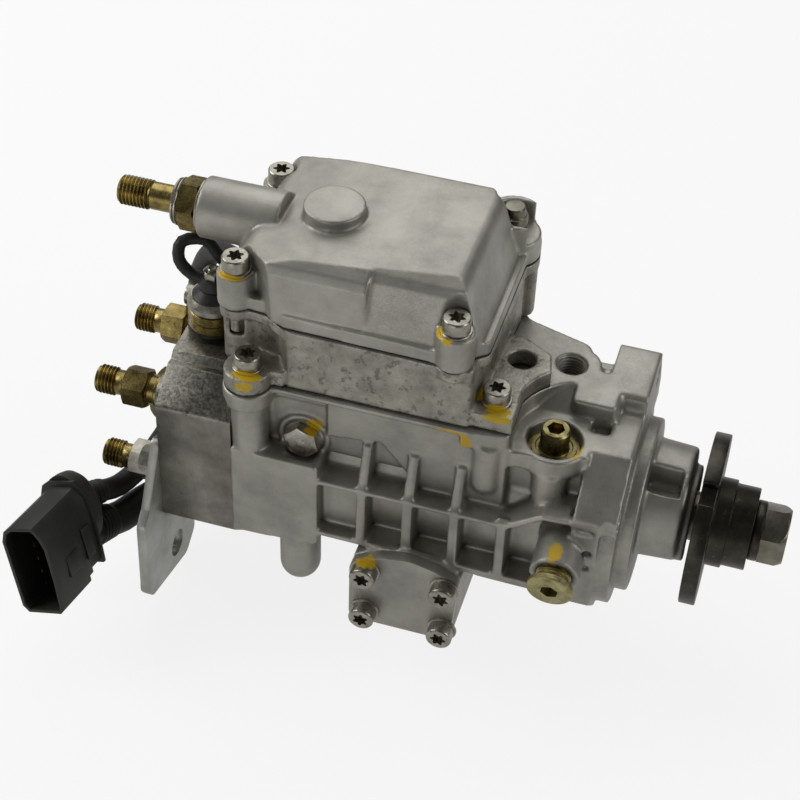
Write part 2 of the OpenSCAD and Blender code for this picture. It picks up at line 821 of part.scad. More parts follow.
module at_outlet(turn) {
    translate([0, outlet_r * cos(turn), outlet_r * sin(turn)])
        children();
}
module outlet_holders() {
    color(olive_colour)
    for (turn = outlet_turns)
        at_outlet(turn)
            outlet_holder();
}
module delivery_valve(i) {
    color(bright_colour)
    at_outlet(outlet_turns[i])
        difference() {
            along_x(valve_seat_x - valve_l)
                union() {
                    cylinder(r = valve_d / 2, h = valve_l - 2);
                    translate([0, 0, valve_l - 2])
                        cylinder(r1 = valve_d / 2, r2 = 1.5, h = 2);
                }
            rod_x(valve_seat_x - valve_l - cut, valve_seat_x - 3, 1.5);
        }
}
module delivery_valve_1() delivery_valve(0);
module delivery_valve_2() delivery_valve(1);
module delivery_valve_3() delivery_valve(2);
module delivery_valve_4() delivery_valve(3);

// Small coil springs of the delivery valves, the shut-off valve and the regulator
module valve_springs() {
    color(bright_colour) {
        for (turn = outlet_turns)
            at_outlet(turn)
                along_x(spring_seat_x)
                    coil(5.6, valve_spring_l, 0.8, 4, 9);
        translate([solenoid_x, solenoid_y, solenoid_bore_z])
            coil(5.6, 10, 0.8, 4, 9);
        at_plug_bore(-3)
            coil(5.6, regulator_spring_l, 0.8, 4, 9);
    }
}

// Shut-off solenoid with its valve
module shutoff_solenoid() {
    color(olive_colour)
    translate([solenoid_x, solenoid_y, 0])
        difference() {
            rotate_extrude()
                polygon([
                    [0, 34], [8, 34], [8, head_z], [11, head_z], [11, head_z + 4], [9.6, head_z + 5],
                    [9.6, head_z + 14], [8.8, head_z + 15], [8.8, head_z + 17], [6.4, head_z + 18],
                    [6.4, head_z + 21], [2, head_z + 21], [2, head_z + 30.5], [0, head_z + 30.5]
                ]);
            translate([0, 0, 33])
                cylinder(r = 5 + run_gap, h = 12);
            translate([0, 0, solenoid_bore_z])
                cylinder(r = 3.2, h = 10);
        }
}
module solenoid_armature() {
    color(bright_colour)
    translate([solenoid_x, solenoid_y, 0])
        rotate_extrude()
            polygon([[0, 24], [3, 24], [4, 26], [5, 27], [5, solenoid_bore_z], [0, solenoid_bore_z]]);
}
module terminal_nut() {
    color(bright_colour)
    translate([solenoid_x, solenoid_y, head_z + 26.2])
        difference() {
            hex_prism(7, 3.2);
            translate([0, 0, -cut])
                cylinder(r = 2 + seat_gap, h = 6);
        }
}
module shutoff_cable() {
    color(black_colour)
    difference() {
        union() {
            sweep_tube(smooth_path(cable_points, 3), cable_d / 2, 8);
            // Moulded boot over the terminal's lug
            rod_z(head_z + 21, head_z + 26.1, 5.6, [solenoid_x, solenoid_y]);
        }
        rod_z(head_z + 20, head_z + 27, 2 + seat_gap, [solenoid_x, solenoid_y]);
    }
}

// Actuator housing
module act_outline() {
    polygon(rounded([
        [-61.5, -act_near, 2], [-134.3, -act_near, 3], [-139, -27, 3], [-150, -25, 2],
        [screw_a.x - 6, screw_a.y - 3, 4], [-165, 0, 4], [-166, 30, 5], [-158, 41, 4],
        [-150, act_far, 3], [-74, act_far, 3], [-58, 34, 4], [-61.2, -28, 4]
    ]));
}
module cavity_outline() {
    w = act_wall;
    polygon(rounded([
        [-64, -act_near + w, 4], [-132, -act_near + w, 4], [-138, -20, 3], [-150, -18, 3],
        [-152, -10, 3], [-160 + w, 24, 3], [-150, act_far - w, 4], [-76, act_far - w, 4],
        [-59 - w, 28, 4], [-61.5 - w, -24, 4]
    ]));
}
module foot_outline() {
    polygon(concat(
        [[-64, -34], [-45.3, -34]],
        [for (a = [163:-4:135]) arc_mid + arc_r * [cos(a), sin(a)]],
        [[-40, 8], [-52, 15], [-62, 16]]
    ));
    translate(foot_e)
        circle(r = 9.4);
    translate([foot_e.x - 4, foot_e.y])
        square([18, 15]);
}
module actuator_housing() {
    color("#8f8c80")
    difference() {
        union() {
            xy_prism(deck_z + gasket_t, split_z - gasket_t)
                act_outline();
            difference() {
                xy_prism(deck_z + gasket_t, deck_z + foot_t)
                    foot_outline();
                rod_z(deck_z, deck_z + foot_t + cut, 5.5, [-50.4, 1.6]);
            }
            // Column of the security screw, with its gusset
            rod_z(deck_z + gasket_t, split_z - gasket_t, 5.25, [-60, 40]);
            box([-80, 34, deck_z + gasket_t], [-60, 40, split_z - gasket_t - 6]);
            // Upper rim
            xy_prism(split_z - gasket_t - 5, split_z - gasket_t)
                cover_rim();
        }
        xy_prism(floor_z, split_z)
            cavity_outline();
        box([act_x - 20, -window_y, deck_z - cut], [act_x + 24, window_y, split_z]);
        for (at = [foot_e, foot_f])
            rod_z(deck_z - cut, split_z, screw_d / 2 + free_gap, at);
        for (at = [screw_a, screw_b, screw_c])
            rod_z(split_z - 16, split_z + cut, screw_d / 2 + seat_gap, at);
        rod_z(split_z - 16, split_z + cut, 3 + seat_gap, screw_g);
        // Holes of the lead gland and the cable's grommet in the rear wall
        rod_x(-170, -150, 6 + seat_gap, gland_at);
        rod_x(-170, -150, 4 + seat_gap, grommet_at);
        // Relief behind the foot screw's head
        rod_z(deck_z + foot_t, split_z + cut, 8.2, foot_e);
    }
}
module gaskets() {
    color(black_colour) {
        difference() {
            xy_prism(deck_z, deck_z + gasket_t)
                intersection() {
                    union() {
                        act_outline();
                        foot_outline();
                    }
                    deck_outline();
                }
            box([act_x - 20, -window_y, deck_z - cut], [act_x + 24, window_y, split_z]);
            for (at = [foot_e, foot_f])
                rod_z(deck_z - cut, split_z, screw_d / 2 + free_gap, at);
            rod_z(deck_z - cut, split_z, 5.5, [-50.4, 1.6]);
        }
        difference() {
            xy_prism(split_z - gasket_t, split_z)
                difference() {
                    cover_rim();
                    cavity_outline();
                }
            for (at = [screw_a, screw_b, screw_c, screw_g])
                rod_z(split_z - cut, split_z + cut, screw_d / 2 + free_gap, at);
        }
    }
}

// Cover
module cover_rim() {
    polygon(rounded([
        [-64, -29, 2], [-71, -act_near - 0.5, 4], [-89, -act_near, 0], [-135.8, -34.6, 4],
        [-144.3, -28.9, 4], [-160, -28.3, 3], [-165.5, -18, 4], [-166, 30, 5], [-158, 41, 4],
        [-150, act_far, 3], [-74, act_far, 3], [-58, 34, 4], [-58, -24, 3]
    ]));
    for (at = [screw_a, screw_b, screw_c])
        translate(at)
            circle(r = 6.6);
    translate(screw_g)
        circle(r = 11.6);
}
// Bonnet of the cover: its side view, its two cross-sections and its plan, taken in by a wall
module bonnet_side(in) {
    polygon(rounded([
        [-164 + in, split_z - 10, 0], [-164 + in, split_z + 8, 6], [-156 + in, split_z + 23 - in, 7],
        [-134, cover_z - 3.5 - in, 8], [-69 - in, cover_z - in, 7], [-61 - in, split_z + 6, 0],
        [-61 - in, split_z - 10, 0]
    ]));
}
module bonnet_rear_section(in) {
    polygon([
        [-34.4 + in, split_z - 10], [-34.4 + in, split_z], [-31.6 + in, cover_z - 9 - in],
        [-29.6 + in, cover_z - 5.5 - in], [-26 + in, cover_z - 3 - in], [-22, cover_z + 1],
        [34, cover_z + 1], [40 - in, cover_z - 3 - in], [42.8 - in, cover_z - 8 - in],
        [43.6 - in, split_z], [43.6 - in, split_z - 10]
    ]);
}
module bonnet_front_section(in) {
    polygon([
        [-35 + in, split_z - 10], [-35 + in, split_z + 4], [-33.4 + in, split_z + 8],
        [-27.6 + in, cover_z - 6 - in], [-25.2 + in, cover_z - 3 - in],
        [-21.5 + in, cover_z - 1 - in], [-18, cover_z + 1], [34, cover_z + 1],
        [40 - in, cover_z - 3 - in], [42.8 - in, cover_z - 8 - in], [43.6 - in, split_z],
        [43.6 - in, split_z - 10]
    ]);
}
module bonnet_plan(in) {
    polygon(rounded([
        [-70, -36 + in, 5], [-138 + in / 2, -36 + in, 6], [-153 + in, -20 + in, 8],
        [-170, -12 + in, 0], [-170, 33 - in, 0], [-154 + in, act_far + 1 - in, 6],
        [-74 - in, act_far + 1 - in, 6], [-60 - in, 30, 8], [-60 - in, -25, 8]
    ]));
}
module bonnet(in, z0) {
    intersection() {
        xz_prism(-60, 60)
            bonnet_side(in);
        union() {
            yz_prism(-175, -104)
                bonnet_rear_section(in);
            yz_prism(-104 - in / 4, -50)
                bonnet_front_section(in);
        }
        xy_prism(z0, split_z + 60)
            bonnet_plan(in);
    }
}
module top_cover() {
    color(cast_colour)
    difference() {
        union() {
            xy_prism(split_z, split_z + cover_flange_h)
                cover_rim();
            bonnet(0, split_z + 1);
            for (at = [screw_a, screw_b, screw_c])
                rod_z(split_z, ear_z, 7.4, at);
            rod_z(split_z, ear_z + 4, 11.2, screw_g);
            // Dome over the position sensor
            rod_z(cover_z - 8, cover_z + 2, 12, [act_x, 4]);
            // Return tube
            rod_x(tube_end_x, -148, tube_d / 2, [tube_y, tube_z]);
        }
        // Hollow, open to the actuator
        bonnet(act_wall - 1, split_z - 5);
        xy_prism(split_z - cut, split_z + 3)
            cavity_outline();
        for (at = [screw_a, screw_b, screw_c])
            rod_z(split_z - cut, ear_z + 20, screw_d / 2 + free_gap, at);
        // Open pocket of the security screw
        rod_z(split_z + cover_flange_h + 4, ear_z + 20, 8.4, screw_g);
        box(
            [screw_g.x, screw_g.y - 8.4, split_z + cover_flange_h + 4],
            [screw_g.x + 16, screw_g.y + 8.4, ear_z + 10]
        );
        rod_z(split_z - cut, ear_z, 3 + free_gap, screw_g);
        // Bore of the return tube
        rod_x(tube_end_x - cut, tube_end_x + 14, 6 + seat_gap, [tube_y, tube_z]);
        rod_x(tube_end_x, -145, 4, [tube_y, tube_z]);
        // Spot faces that give the screw heads room beside the bonnet
        for (at = [screw_a, screw_b, screw_c])
            rod_z(ear_z, ear_z + 30, 6.4, at);
    }
}

// Pan-head screw with its washer, standing on z = 0, its shank l long
module pan_screw(l) {
    head_r = screw_head_d / 2;
    difference() {
        rotate_extrude()
            polygon([
                [0, -l], [screw_d / 2, -l], [screw_d / 2, 0], [head_r + 0.6, 0], [head_r + 0.6, 1],
                [head_r, 1], [head_r, screw_head_h - 1], [head_r - 1, screw_head_h],
                [0, screw_head_h]
            ]);
        translate([0, 0, screw_head_h - 3])
            linear_extrude(4)
                polygon([
                    for (a = [0:12:348]) (2.6 + 0.35 * cos(6 * a)) * [cos(a), sin(a)]
                ]);
    }
}
module torx_screws() {
    color(bright_colour) {
        for (at = [screw_a, screw_b, screw_c])
            translate([at.x, at.y, ear_z])
                pan_screw(ear_h + 14);
        for (at = [foot_e, foot_f])
            translate([at.x, at.y, deck_z + foot_t])
                pan_screw(foot_t + 14);
        for (x = [-1, 1], z = [-1, 1], side = [0, 1])
            mirror([0, side, 0])
                translate(timing_screw_at(x, z) - [0, timing_y + timing_cover_t, 0])
                    rotate([90, 0, 0])
                        pan_screw(timing_cover_t + 11);
    }
}
module security_screw() {
    color(bright_colour)
    translate([screw_g.x, screw_g.y, 0])
        union() {
            translate([0, 0, split_z - 14])
                cylinder(r = 3, h = cover_flange_h + 19);
            translate([0, 0, split_z + cover_flange_h + 4])
                cylinder(r = 5.4, h = 8);
            translate([0, 0, split_z + cover_flange_h + 11.9])
                cylinder(r1 = 4.6, r2 = 4, h = 4);
        }
}
module return_fitting() {
    color(olive_colour)
    translate([0, tube_y, tube_z])
        difference() {
            union() {
                rod_x(tube_end_x, tube_end_x + 13, 6);
                translate([tube_end_x - 1, 0, 0])
                    rotate([0, -90, 0])
                        rotate([0, 0, 15])
                            hex_prism(19, 8);
                rod_x(tube_end_x - 2, tube_end_x + 0.5, 6);
                rod_x(tube_end_x - 22, tube_end_x - 8.9, 5.5);
                rod_x(tube_end_x - 35, tube_end_x - 22, return_d / 2);
            }
            rod_x(tube_end_x - 36, tube_end_x + 14, 2.2);
        }
}
module fitting_washers() {
    color(bright_colour)
    translate([0, tube_y, tube_z])
        difference() {
            union() {
                rod_x(tube_end_x - 1, tube_end_x, 11);
                rod_x(tube_end_x - 11.5, tube_end_x - 9, 11);
            }
            rod_x(tube_end_x - 20, tube_end_x + cut, 6 + seat_gap);
        }
}

// Rotary actuator: laminated stator, rotor with its eccentric ball, position sensor
module actuator_stator() {
    color("#5c4a32")
    difference() {
        xy_prism(floor_z, floor_z + 18)
            polygon(rounded([
                [act_x - 18, -8, 3], [act_x - 4, -22, 3], [act_x + 32, -26, 3],
                [act_x + 32, 32, 3], [act_x - 18, 32, 3]
            ]));
        rod_z(deck_z, split_z, 14, [act_x, act_y]);
        box([act_x + 18, -14, deck_z], [act_x + 26, 20, split_z]);
        rod_z(deck_z, split_z + 10, 7, [act_x + 30, 26]);
    }
}
module actuator_rotor() {
    color(bright_colour)
    translate([act_x, act_y, 0])
        union() {
            translate([0, 0, 16])
                cylinder(r = 4, h = deck_z + foot_t - 12);
            translate([0, 0, deck_z + foot_t])
                cylinder(r = 13.4, h = 14);
            translate([0, 0, deck_z + foot_t + 12])
                cylinder(r = 3, h = 16);
            rotate([0, 0, act_half])
                translate([0, -ball_offset, 0]) {
                    translate([0, 0, ball_z])
                        sphere(r = ball_r);
                    translate([0, 0, ball_z])
                        cylinder(r = 1.6, h = 17 - ball_z);
                }
            translate([0, 0, 16])
                cylinder(r = 6.4, h = 4);
        }
}
module position_sensor() {
    color("#6a5a30")
    translate([act_x, act_y, deck_z + foot_t + 18.4])
        difference() {
            union() {
                cylinder(r = 16, h = 9);
                translate([-3, -24, 0])
                    cube([6, 48, 4]);
            }
            translate([0, 0, -cut])
                cylinder(r = 3.4, h = 12);
        }
}

// Shaft and what turns with it
module drive_shaft() {
    color(steel_colour)
    difference() {
        union() {
            along_x()
                rotate_extrude()
                    polygon([
                        [0, shaft_rear_x], [claw_out_r, shaft_rear_x], [claw_out_r, shaft_rear_x + 4],
                        [shaft_d / 2, shaft_rear_x + 6], [shaft_d / 2, hub_x],
                        [shaft_d / 2 - 1.5, washer_x - 0.5], [stub_d / 2, washer_x - 0.5],
                        [stub_d / 2, shaft_end_x - 1], [stub_d / 2 - 1, shaft_end_x], [0, shaft_end_x]
                    ]);
            intersection() {
                rod_x(disc_x + 0.2, shaft_rear_x + cut, claw_out_r);
                for (z = [-1, 1])
                    box(
                        [disc_x + 0.2, -claw_w / 2, z > 0 ? claw_in_r : -claw_out_r],
                        [shaft_rear_x + cut, claw_w / 2, z > 0 ? claw_out_r : -claw_in_r]
                    );
            }
        }
        rod_y(-2 - seat_gap, 2 + seat_gap, 8 + seat_gap, [key_x, 5]);
        rod_y(-1.5 - seat_gap, 1.5 + seat_gap, 6, [supply_front_x - supply_l / 2, shaft_d / 2 + 1]);
    }
}
module shaft_key() {
    color(bright_colour)
    intersection() {
        rod_y(-2, 2, 8, [key_x, 5]);
        box([key_x - 9, -3, 0], [key_x + 9, 3, shaft_d / 2 + 1.6]);
    }
}
module drive_hub() {
    color(black_colour)
    difference() {
        union() {
            rod_x(hub_x, collar_x, hub_d / 2);
            rod_x(collar_x - cut, neck_x, collar_d / 2);
            rod_x(neck_x - cut, washer_x, neck_d / 2);
        }
        along_x()
            rotate_extrude()
                polygon([
                    [0, hub_x - cut], [shaft_d / 2 + seat_gap, hub_x - cut], [shaft_d / 2 + seat_gap, hub_x],
                    [shaft_d / 2 - 1.5 + seat_gap, washer_x - 0.5],
                    [shaft_d / 2 - 1.5 + seat_gap, washer_x + cut], [0, washer_x + cut]
                ]);
        box([hub_x - cut, -2 - seat_gap, 0], [washer_x + cut, 2 + seat_gap, shaft_d / 2 + 1.7]);
        for (i = [0:2])
            rotate([120 * i + 60, 0, 0])
                rod_x(hub_x - cut, collar_x + cut, hub_hole_d / 2, [hub_pcd / 2, 0]);
        rotate([120, 0, 0])
            box(
                [hub_x - cut, hub_d / 2 - notch_depth, -notch_w / 2],
                [collar_x + cut, hub_d, notch_w / 2]
            );
    }
}
module hub_washer() {
    color(steel_colour)
    difference() {
        rod_x(washer_x, nut_x, washer_d / 2);
        rod_x(washer_x - cut, nut_x + cut, stub_d / 2 + seat_gap);
    }
}
module hub_nut() {
    color(olive_colour)
    difference() {
        translate([nut_x, 0, 0])
            rotate([0, 90, 0])
                hex_prism(nut_af, nut_l);
        rod_x(nut_x - cut, nut_x + nut_l + cut, stub_d / 2 + seat_gap);
    }
}
module shaft_seal() {
    color(black_colour)
    difference() {
        rod_x(seal_x, boss_l, seal_d / 2);
        rod_x(seal_x - cut, boss_l + cut, shaft_d / 2 + run_gap);
        rod_x(boss_l - 3, boss_l + cut, shaft_d / 2 + 2.5);
    }
}
module shaft_bushes() {
    color("#b08a4a")
    for (x = [[supply_front_x + 0.3, -5], [-2, seal_x - 0.3]])
        difference() {
            rod_x(x[0], x[1], bush_d / 2);
            rod_x(x[0] - cut, x[1] + cut, shaft_d / 2 + run_gap);
        }
}

// Vane-type supply pump
module supply_ring() {
    color(steel_colour)
    difference() {
        rod_x(supply_x, supply_front_x, ring_d / 2);
        rod_x(supply_x - cut, supply_front_x + cut, supply_bore_d / 2, [0, supply_offset]);
    }
}
module vane_slots(gap) {
    for (turn = [45:90:315])
        rotate([turn, 0, 0])
            box(
                [supply_x + gap, rotor_d / 2 - 7 + gap, -vane_t / 2 + gap],
                [supply_front_x - gap, rotor_d, vane_t / 2 - gap]
            );
}
module supply_rotor() {
    color(bright_colour)
    difference() {
        rod_x(supply_x + 0.1, supply_front_x - 0.1, rotor_d / 2);
        rod_x(supply_x - cut, supply_front_x + cut, shaft_d / 2 + seat_gap);
        vane_slots(0);
    }
}
module supply_vanes() {
    color(steel_colour)
    intersection() {
        rod_x(supply_x, supply_front_x, rotor_d / 2);
        vane_slots(0.1);
    }
}
module supply_plate() {
    color(steel_colour)
    difference() {
        rod_x(plate_x, supply_x, ring_d / 2);
        rod_x(plate_x - cut, supply_x + cut, shaft_d / 2 + 0.5);
        for (a = [30, 150])
            rod_x(plate_x - cut, supply_x + cut, 2.5, 18 * [cos(a), sin(a)]);
    }
}

// Cam drive
module cross_disc() {
    color(bright_colour)
    difference() {
        rod_x(disc_x, disc_x + disc_t, claw_out_r);
        for (turn = [0:90:270])
            rotate([turn, 0, 0])
                box(
                    [disc_x - cut, claw_in_r - seat_gap, -claw_w / 2 - run_gap],
                    [disc_x + disc_t + cut, claw_out_r + cut, claw_w / 2 + run_gap]
                );
    }
}
module at_roller(i) {
    rotate([90 * i + 45, 0, 0])
        translate([ring_x, roller_mid_r, 0])
            rotate([-90, 0, 0])
                children();
}
module roller_ring() {
    color(steel_colour)
    difference() {
        rod_x(ring_x, ring_x + ring_w, ring_d / 2);
        rod_x(ring_x - cut, ring_x + ring_w + cut, claw_out_r + 1);
        for (i = [0:3])
            at_roller(i) {
                translate([0, 0, -roller_l / 2 - 0.3])
                    cylinder(r = roller_d / 2 + 0.3, h = roller_l + 0.6);
                translate([0, 0, -roller_l / 2 - 4])
                    cylinder(r = roller_pin_d / 2 + seat_gap, h = roller_l + 20);
                translate([-roller_d, -roller_pin_d / 2, -roller_l / 2 - 4])
                    cube([roller_d, roller_pin_d, roller_l + 20]);
            }
        rod_z(-ring_d / 2 - cut, -claw_out_r, timing_pin_r + seat_gap, [timing_x, 0]);
    }
}
module ring_pins() {
    color(bright_colour) {
        for (i = [0:3])
            at_roller(i)
                translate([0, 0, -roller_l / 2 - 1.2])
                    cylinder(r = roller_pin_d / 2, h = roller_l + 3.2);
        // Pin that couples the ring to the timing piston
        rod_z(-ring_d / 2 + 1, -claw_out_r - 2, timing_pin_r, [timing_x, 0]);
        rod_z(timing_z, -ring_d / 2 + 1.5, timing_pin_r - 1, [timing_x, 0]);
        translate([timing_x, 0, timing_z])
            sphere(r = timing_pin_r);
    }
}
module roller(i) {
    color(bright_colour)
    at_roller(i)
        difference() {
            translate([0, 0, -roller_l / 2])
                cylinder(r = roller_d / 2, h = roller_l);
            translate([0, 0, -roller_l])
                cylinder(r = roller_pin_d / 2 + run_gap, h = 2 * roller_l);
        }
}
module roller_1() roller(0);
module roller_2() roller(1);
module roller_3() roller(2);
module roller_4() roller(3);
module cam_plate() {
    color(steel_colour)
    difference() {
        union() {
            rod_x(cam_rear_x, valley_x, cam_d / 2);
            intersection() {
                for (turn = [0:90:270])
                    rotate([turn, 0, 0])
                        rod_y(0, cam_d, 10, [crest_x - 10, 0]);
                rod_x(valley_x - cut, crest_x + cut, cam_d / 2);
            }
            intersection() {
                rod_x(valley_x - cut, disc_x + disc_t - 0.2, claw_out_r);
                for (y = [-1, 1])
                    box(
                        [valley_x - cut, y > 0 ? claw_in_r : -claw_out_r, -claw_w / 2],
                        [disc_x + disc_t - 0.2, y > 0 ? claw_out_r : -claw_in_r, claw_w / 2]
                    );
            }
        }
        difference() {
            rod_x(valley_x, crest_x + cut, claw_out_r + 1.5);
            box([valley_x - cut, -claw_out_r, -claw_w / 2], [crest_x + 2, claw_out_r, claw_w / 2]);
        }
        box([valley_x, -claw_in_r, -claw_w], [crest_x + 2, claw_in_r, claw_w]);
    }
}
module plunger() {
    color(bright_colour)
    difference() {
        union() {
            rod_x(cam_rear_x - foot_l, cam_rear_x, 9);
            rod_x(plunger_end_x + 4, cam_rear_x, plunger_d / 2);
        }
        rod_x(plunger_end_x, act_x - 8, 1);
        rod_z(-plunger_d, plunger_d, 1, [act_x - 6, 0]);
    }
}
module spring_bridge() {
    color(steel_colour)
    difference() {
        yz_prism(bridge_x, bridge_x + bridge_t)
            polygon(rounded([
                [-spring_y - 7, -8, 4], [spring_y + 7, -8, 4], [spring_y + 7, 8, 4],
                [-spring_y - 7, 8, 4]
            ]));
        rod_x(bridge_x - cut, bridge_x + bridge_t + cut, plunger_d / 2 + 0.5);
    }
}
module plunger_springs() {
    color(bright_colour)
    for (y = [-spring_y, spring_y])
        translate([-body_l - 3, y, 0])
            rotate([0, 90, 0])
                coil(plunger_spring_d, body_l + bridge_x + 3, 1.8, 7);
}
module control_collar() {
    color(bright_colour)
    difference() {
        rod_x(collar_x0 - control_l / 2, collar_x0 + control_l / 2, control_d / 2);
        rod_x(collar_x0 - control_l, collar_x0 + control_l, plunger_d / 2 + run_gap);
        // Slot for the actuator's ball
        box(
            [collar_x0 - ball_r - 0.1, -control_d, ball_z - ball_r - 0.5],
            [collar_x0 + ball_r + 0.1, control_d, control_d]
        );
    }
}

// Timing device
module timing_piston() {
    color(bright_colour)
    difference() {
        rod_y(-timing_l / 2, timing_l / 2, timing_d / 2, [timing_x, timing_z]);
        rod_y(timing_l / 2 - 12, timing_l / 2 + cut, 7.5, [timing_x, timing_z]);
        rod_z(timing_z - 5, timing_z + 4.3, timing_pin_r + run_gap, [timing_x, 0]);
        rod_z(timing_z + 4, timing_z + timing_d, timing_pin_r + 1.4, [timing_x, 0]);
    }
}
module timing_spring() {
    color(bright_colour)
    along_y([timing_x, timing_l / 2 - 12, timing_z])
        coil(13, timing_y - timing_l / 2 + 12, 2, 5);
}
module timing_cover_outline() {
    polygon(rounded([
        [timing_x - 23.5, timing_bottom, 4], [timing_x + 19.5, timing_bottom, 4],
        [timing_x + 21.7, -20, 3], [timing_x + 12, -14, 8], [timing_x + 1, -11.5, 14],
        [timing_x - 11, -14, 10], [timing_x - 23.5, -21, 4]
    ]));
}
module timing_covers() {
    color(cast_colour)
    for (side = [0, 1])
        mirror([0, side, 0])
            difference() {
                xz_prism(-timing_y - timing_cover_t, -timing_y)
                    timing_cover_outline();
                for (x = [-1, 1], z = [-1, 1])
                    rod_y(
                        -timing_y - timing_cover_t - cut, -timing_y + cut, screw_d / 2 + free_gap,
                        [timing_screw_at(x, z).x, timing_screw_at(x, z).z]
                    );
            }
}
module timing_valve() {
    color(black_colour) {
        rod_x(-127, timing_x - 23.5, 9, [26, timing_bottom + 11]);
        rod_x(-118, -106, 11, [26, timing_bottom + 11]);
    }
}

// Rear bracket and bolts
module rear_bracket() {
    color("#8d8f88")
    difference() {
        yz_prism(head_x - bracket_t, head_x)
            polygon(rounded([
                [-39.5, 12.5, 3], [-54.5, -14, 6], [-60.2, -19.4, 4], [-61.4, -50.3, 6],
                [-62, -56, 5], [-57.8, -62.1, 5], [-21.3, -72.4, 6], [-10.3, -65.3, 5],
                [-14, -48, 8], [-31, -36, 4], [-31, 8, 3]
            ]));
        rod_x(head_x - bracket_t - cut, head_x + cut, bracket_hole_d / 2, [-30.2, -57.2]);
        for (at = bracket_bolts_at)
            rod_x(head_x - bracket_t - cut, head_x + cut, 3 + free_gap, at);
    }
}
// Flanged hexagon bolt standing on z = 0
module flange_bolt(af, l, r) {
    translate([0, 0, -l])
        cylinder(r = r, h = l + 0.5);
    cylinder(r = af * 0.63, h = 1.5);
    translate([0, 0, 1.49])
        hex_prism(af, 4.5);
}
module hex_bolts() {
    color(bright_colour) {
        translate([side_bolt_at.x, side_bolt_at.y + 1.5, side_bolt_at.z])
            rotate([90, 0, 0])
                flange_bolt(13, 14, 4);
        for (at = bracket_bolts_at)
            translate([head_x - bracket_t, at.x, at.y])
                rotate([0, -90, 0])
                    flange_bolt(10, bracket_t + head_l + 14, 3);
    }
}

// Leads and connector
module main_lead() {
    color(black_colour)
    sweep_tube(smooth_path(main_points, 3), main_d / 2, 8);
}
module timing_lead() {
    color(black_colour)
    sweep_tube(smooth_path(timing_points, 2), timing_lead_d / 2, 10);
}
module lead_gland() {
    color(black_colour)
    for (gland = [[gland_at, 6], [grommet_at, 4]]) {
        rod_x(-166, -158, gland[1], gland[0]);
        rod_x(-168, -166, gland[1] + 1.8, gland[0]);
    }
}
module connector() {
    color(black_colour)
    translate(connector_at)
        rotate(connector_turn)
            difference() {
                union() {
                    translate([-10, -47, -20])
                        cube([20, 42, 40]);
                    translate([-9, -5 - cut, -17])
                        cube([18, 5 + cut, 34]);
                    translate([-11, -32, -15])
                        cube([22, 14, 30]);
                }
                translate([-8.2, -48, -18.2])
                    cube([16.4, 30, 36.4]);
            }
}

// Adjusting plug with the pressure regulator's piston
module at_plug_bore(z) {
    translate(plug_at)
        rotate([90 + plug_lean, 0, 0])
            translate([0, 0, z])
                children();
}
module regulator_plug() {
    color(olive_colour)
    at_plug_bore(0)
        difference() {
            union() {
                translate([0, 0, -11])
                    cylinder(r = 7, h = 11 + plug_boss_l);
                cylinder(r = 6.4, h = plug_boss_l + 4);
                translate([0, 0, plug_boss_l + 3.6])
                    cylinder(r = 9.2, h = 3.8);
            }
            translate([0, 0, -11 - cut])
                cylinder(r = 4 + run_gap, h = 16);
            translate([0, 0, plug_boss_l + 2.4])
                linear_extrude(6)
                    hexagon(8);
        }
}
module regulator_piston() {
    color(bright_colour)
    at_plug_bore(-11)
        cylinder(r = 4, h = 8);
}
module adjust_screw() {
    color(olive_colour)
    translate([counterbore_at.x, counterbore_at.y, low_z - 5.5])
        difference() {
            union() {
                translate([0, 0, -14])
                    cylinder(r = 4, h = 15);
                cylinder(r = 9.8, h = 1.5);
                cylinder(r = 5.7, h = 11);
            }
            translate([0, 0, 6])
                linear_extrude(6)
                    hexagon(6);
        }
}

pump_housing();
distributor_head();
head_bolts();
central_plug();
outlet_holders();
delivery_valve_1();
delivery_valve_2();
delivery_valve_3();
delivery_valve_4();
valve_springs();
shutoff_solenoid();
terminal_nut();
solenoid_armature();
shutoff_cable();
actuator_housing();
gaskets();
top_cover();
torx_screws();
security_screw();
return_fitting();
fitting_washers();
actuator_stator();
actuator_rotor();
position_sensor();
drive_shaft();
shaft_seal();
shaft_bushes();
shaft_key();
drive_hub();
hub_washer();
hub_nut();
supply_ring();
supply_rotor();
supply_vanes();
supply_plate();
cross_disc();
roller_ring();
ring_pins();
roller_1();
roller_2();
roller_3();
roller_4();
cam_plate();
plunger();
spring_bridge();
plunger_springs();
control_collar();
timing_piston();
timing_spring();
timing_covers();
timing_valve();
rear_bracket();
hex_bolts();
main_lead();
timing_lead();
lead_gland();
connector();
regulator_plug();
regulator_piston();
adjust_screw();
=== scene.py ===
import json
import math

import bmesh
import bpy
from mathutils import Matrix, Vector

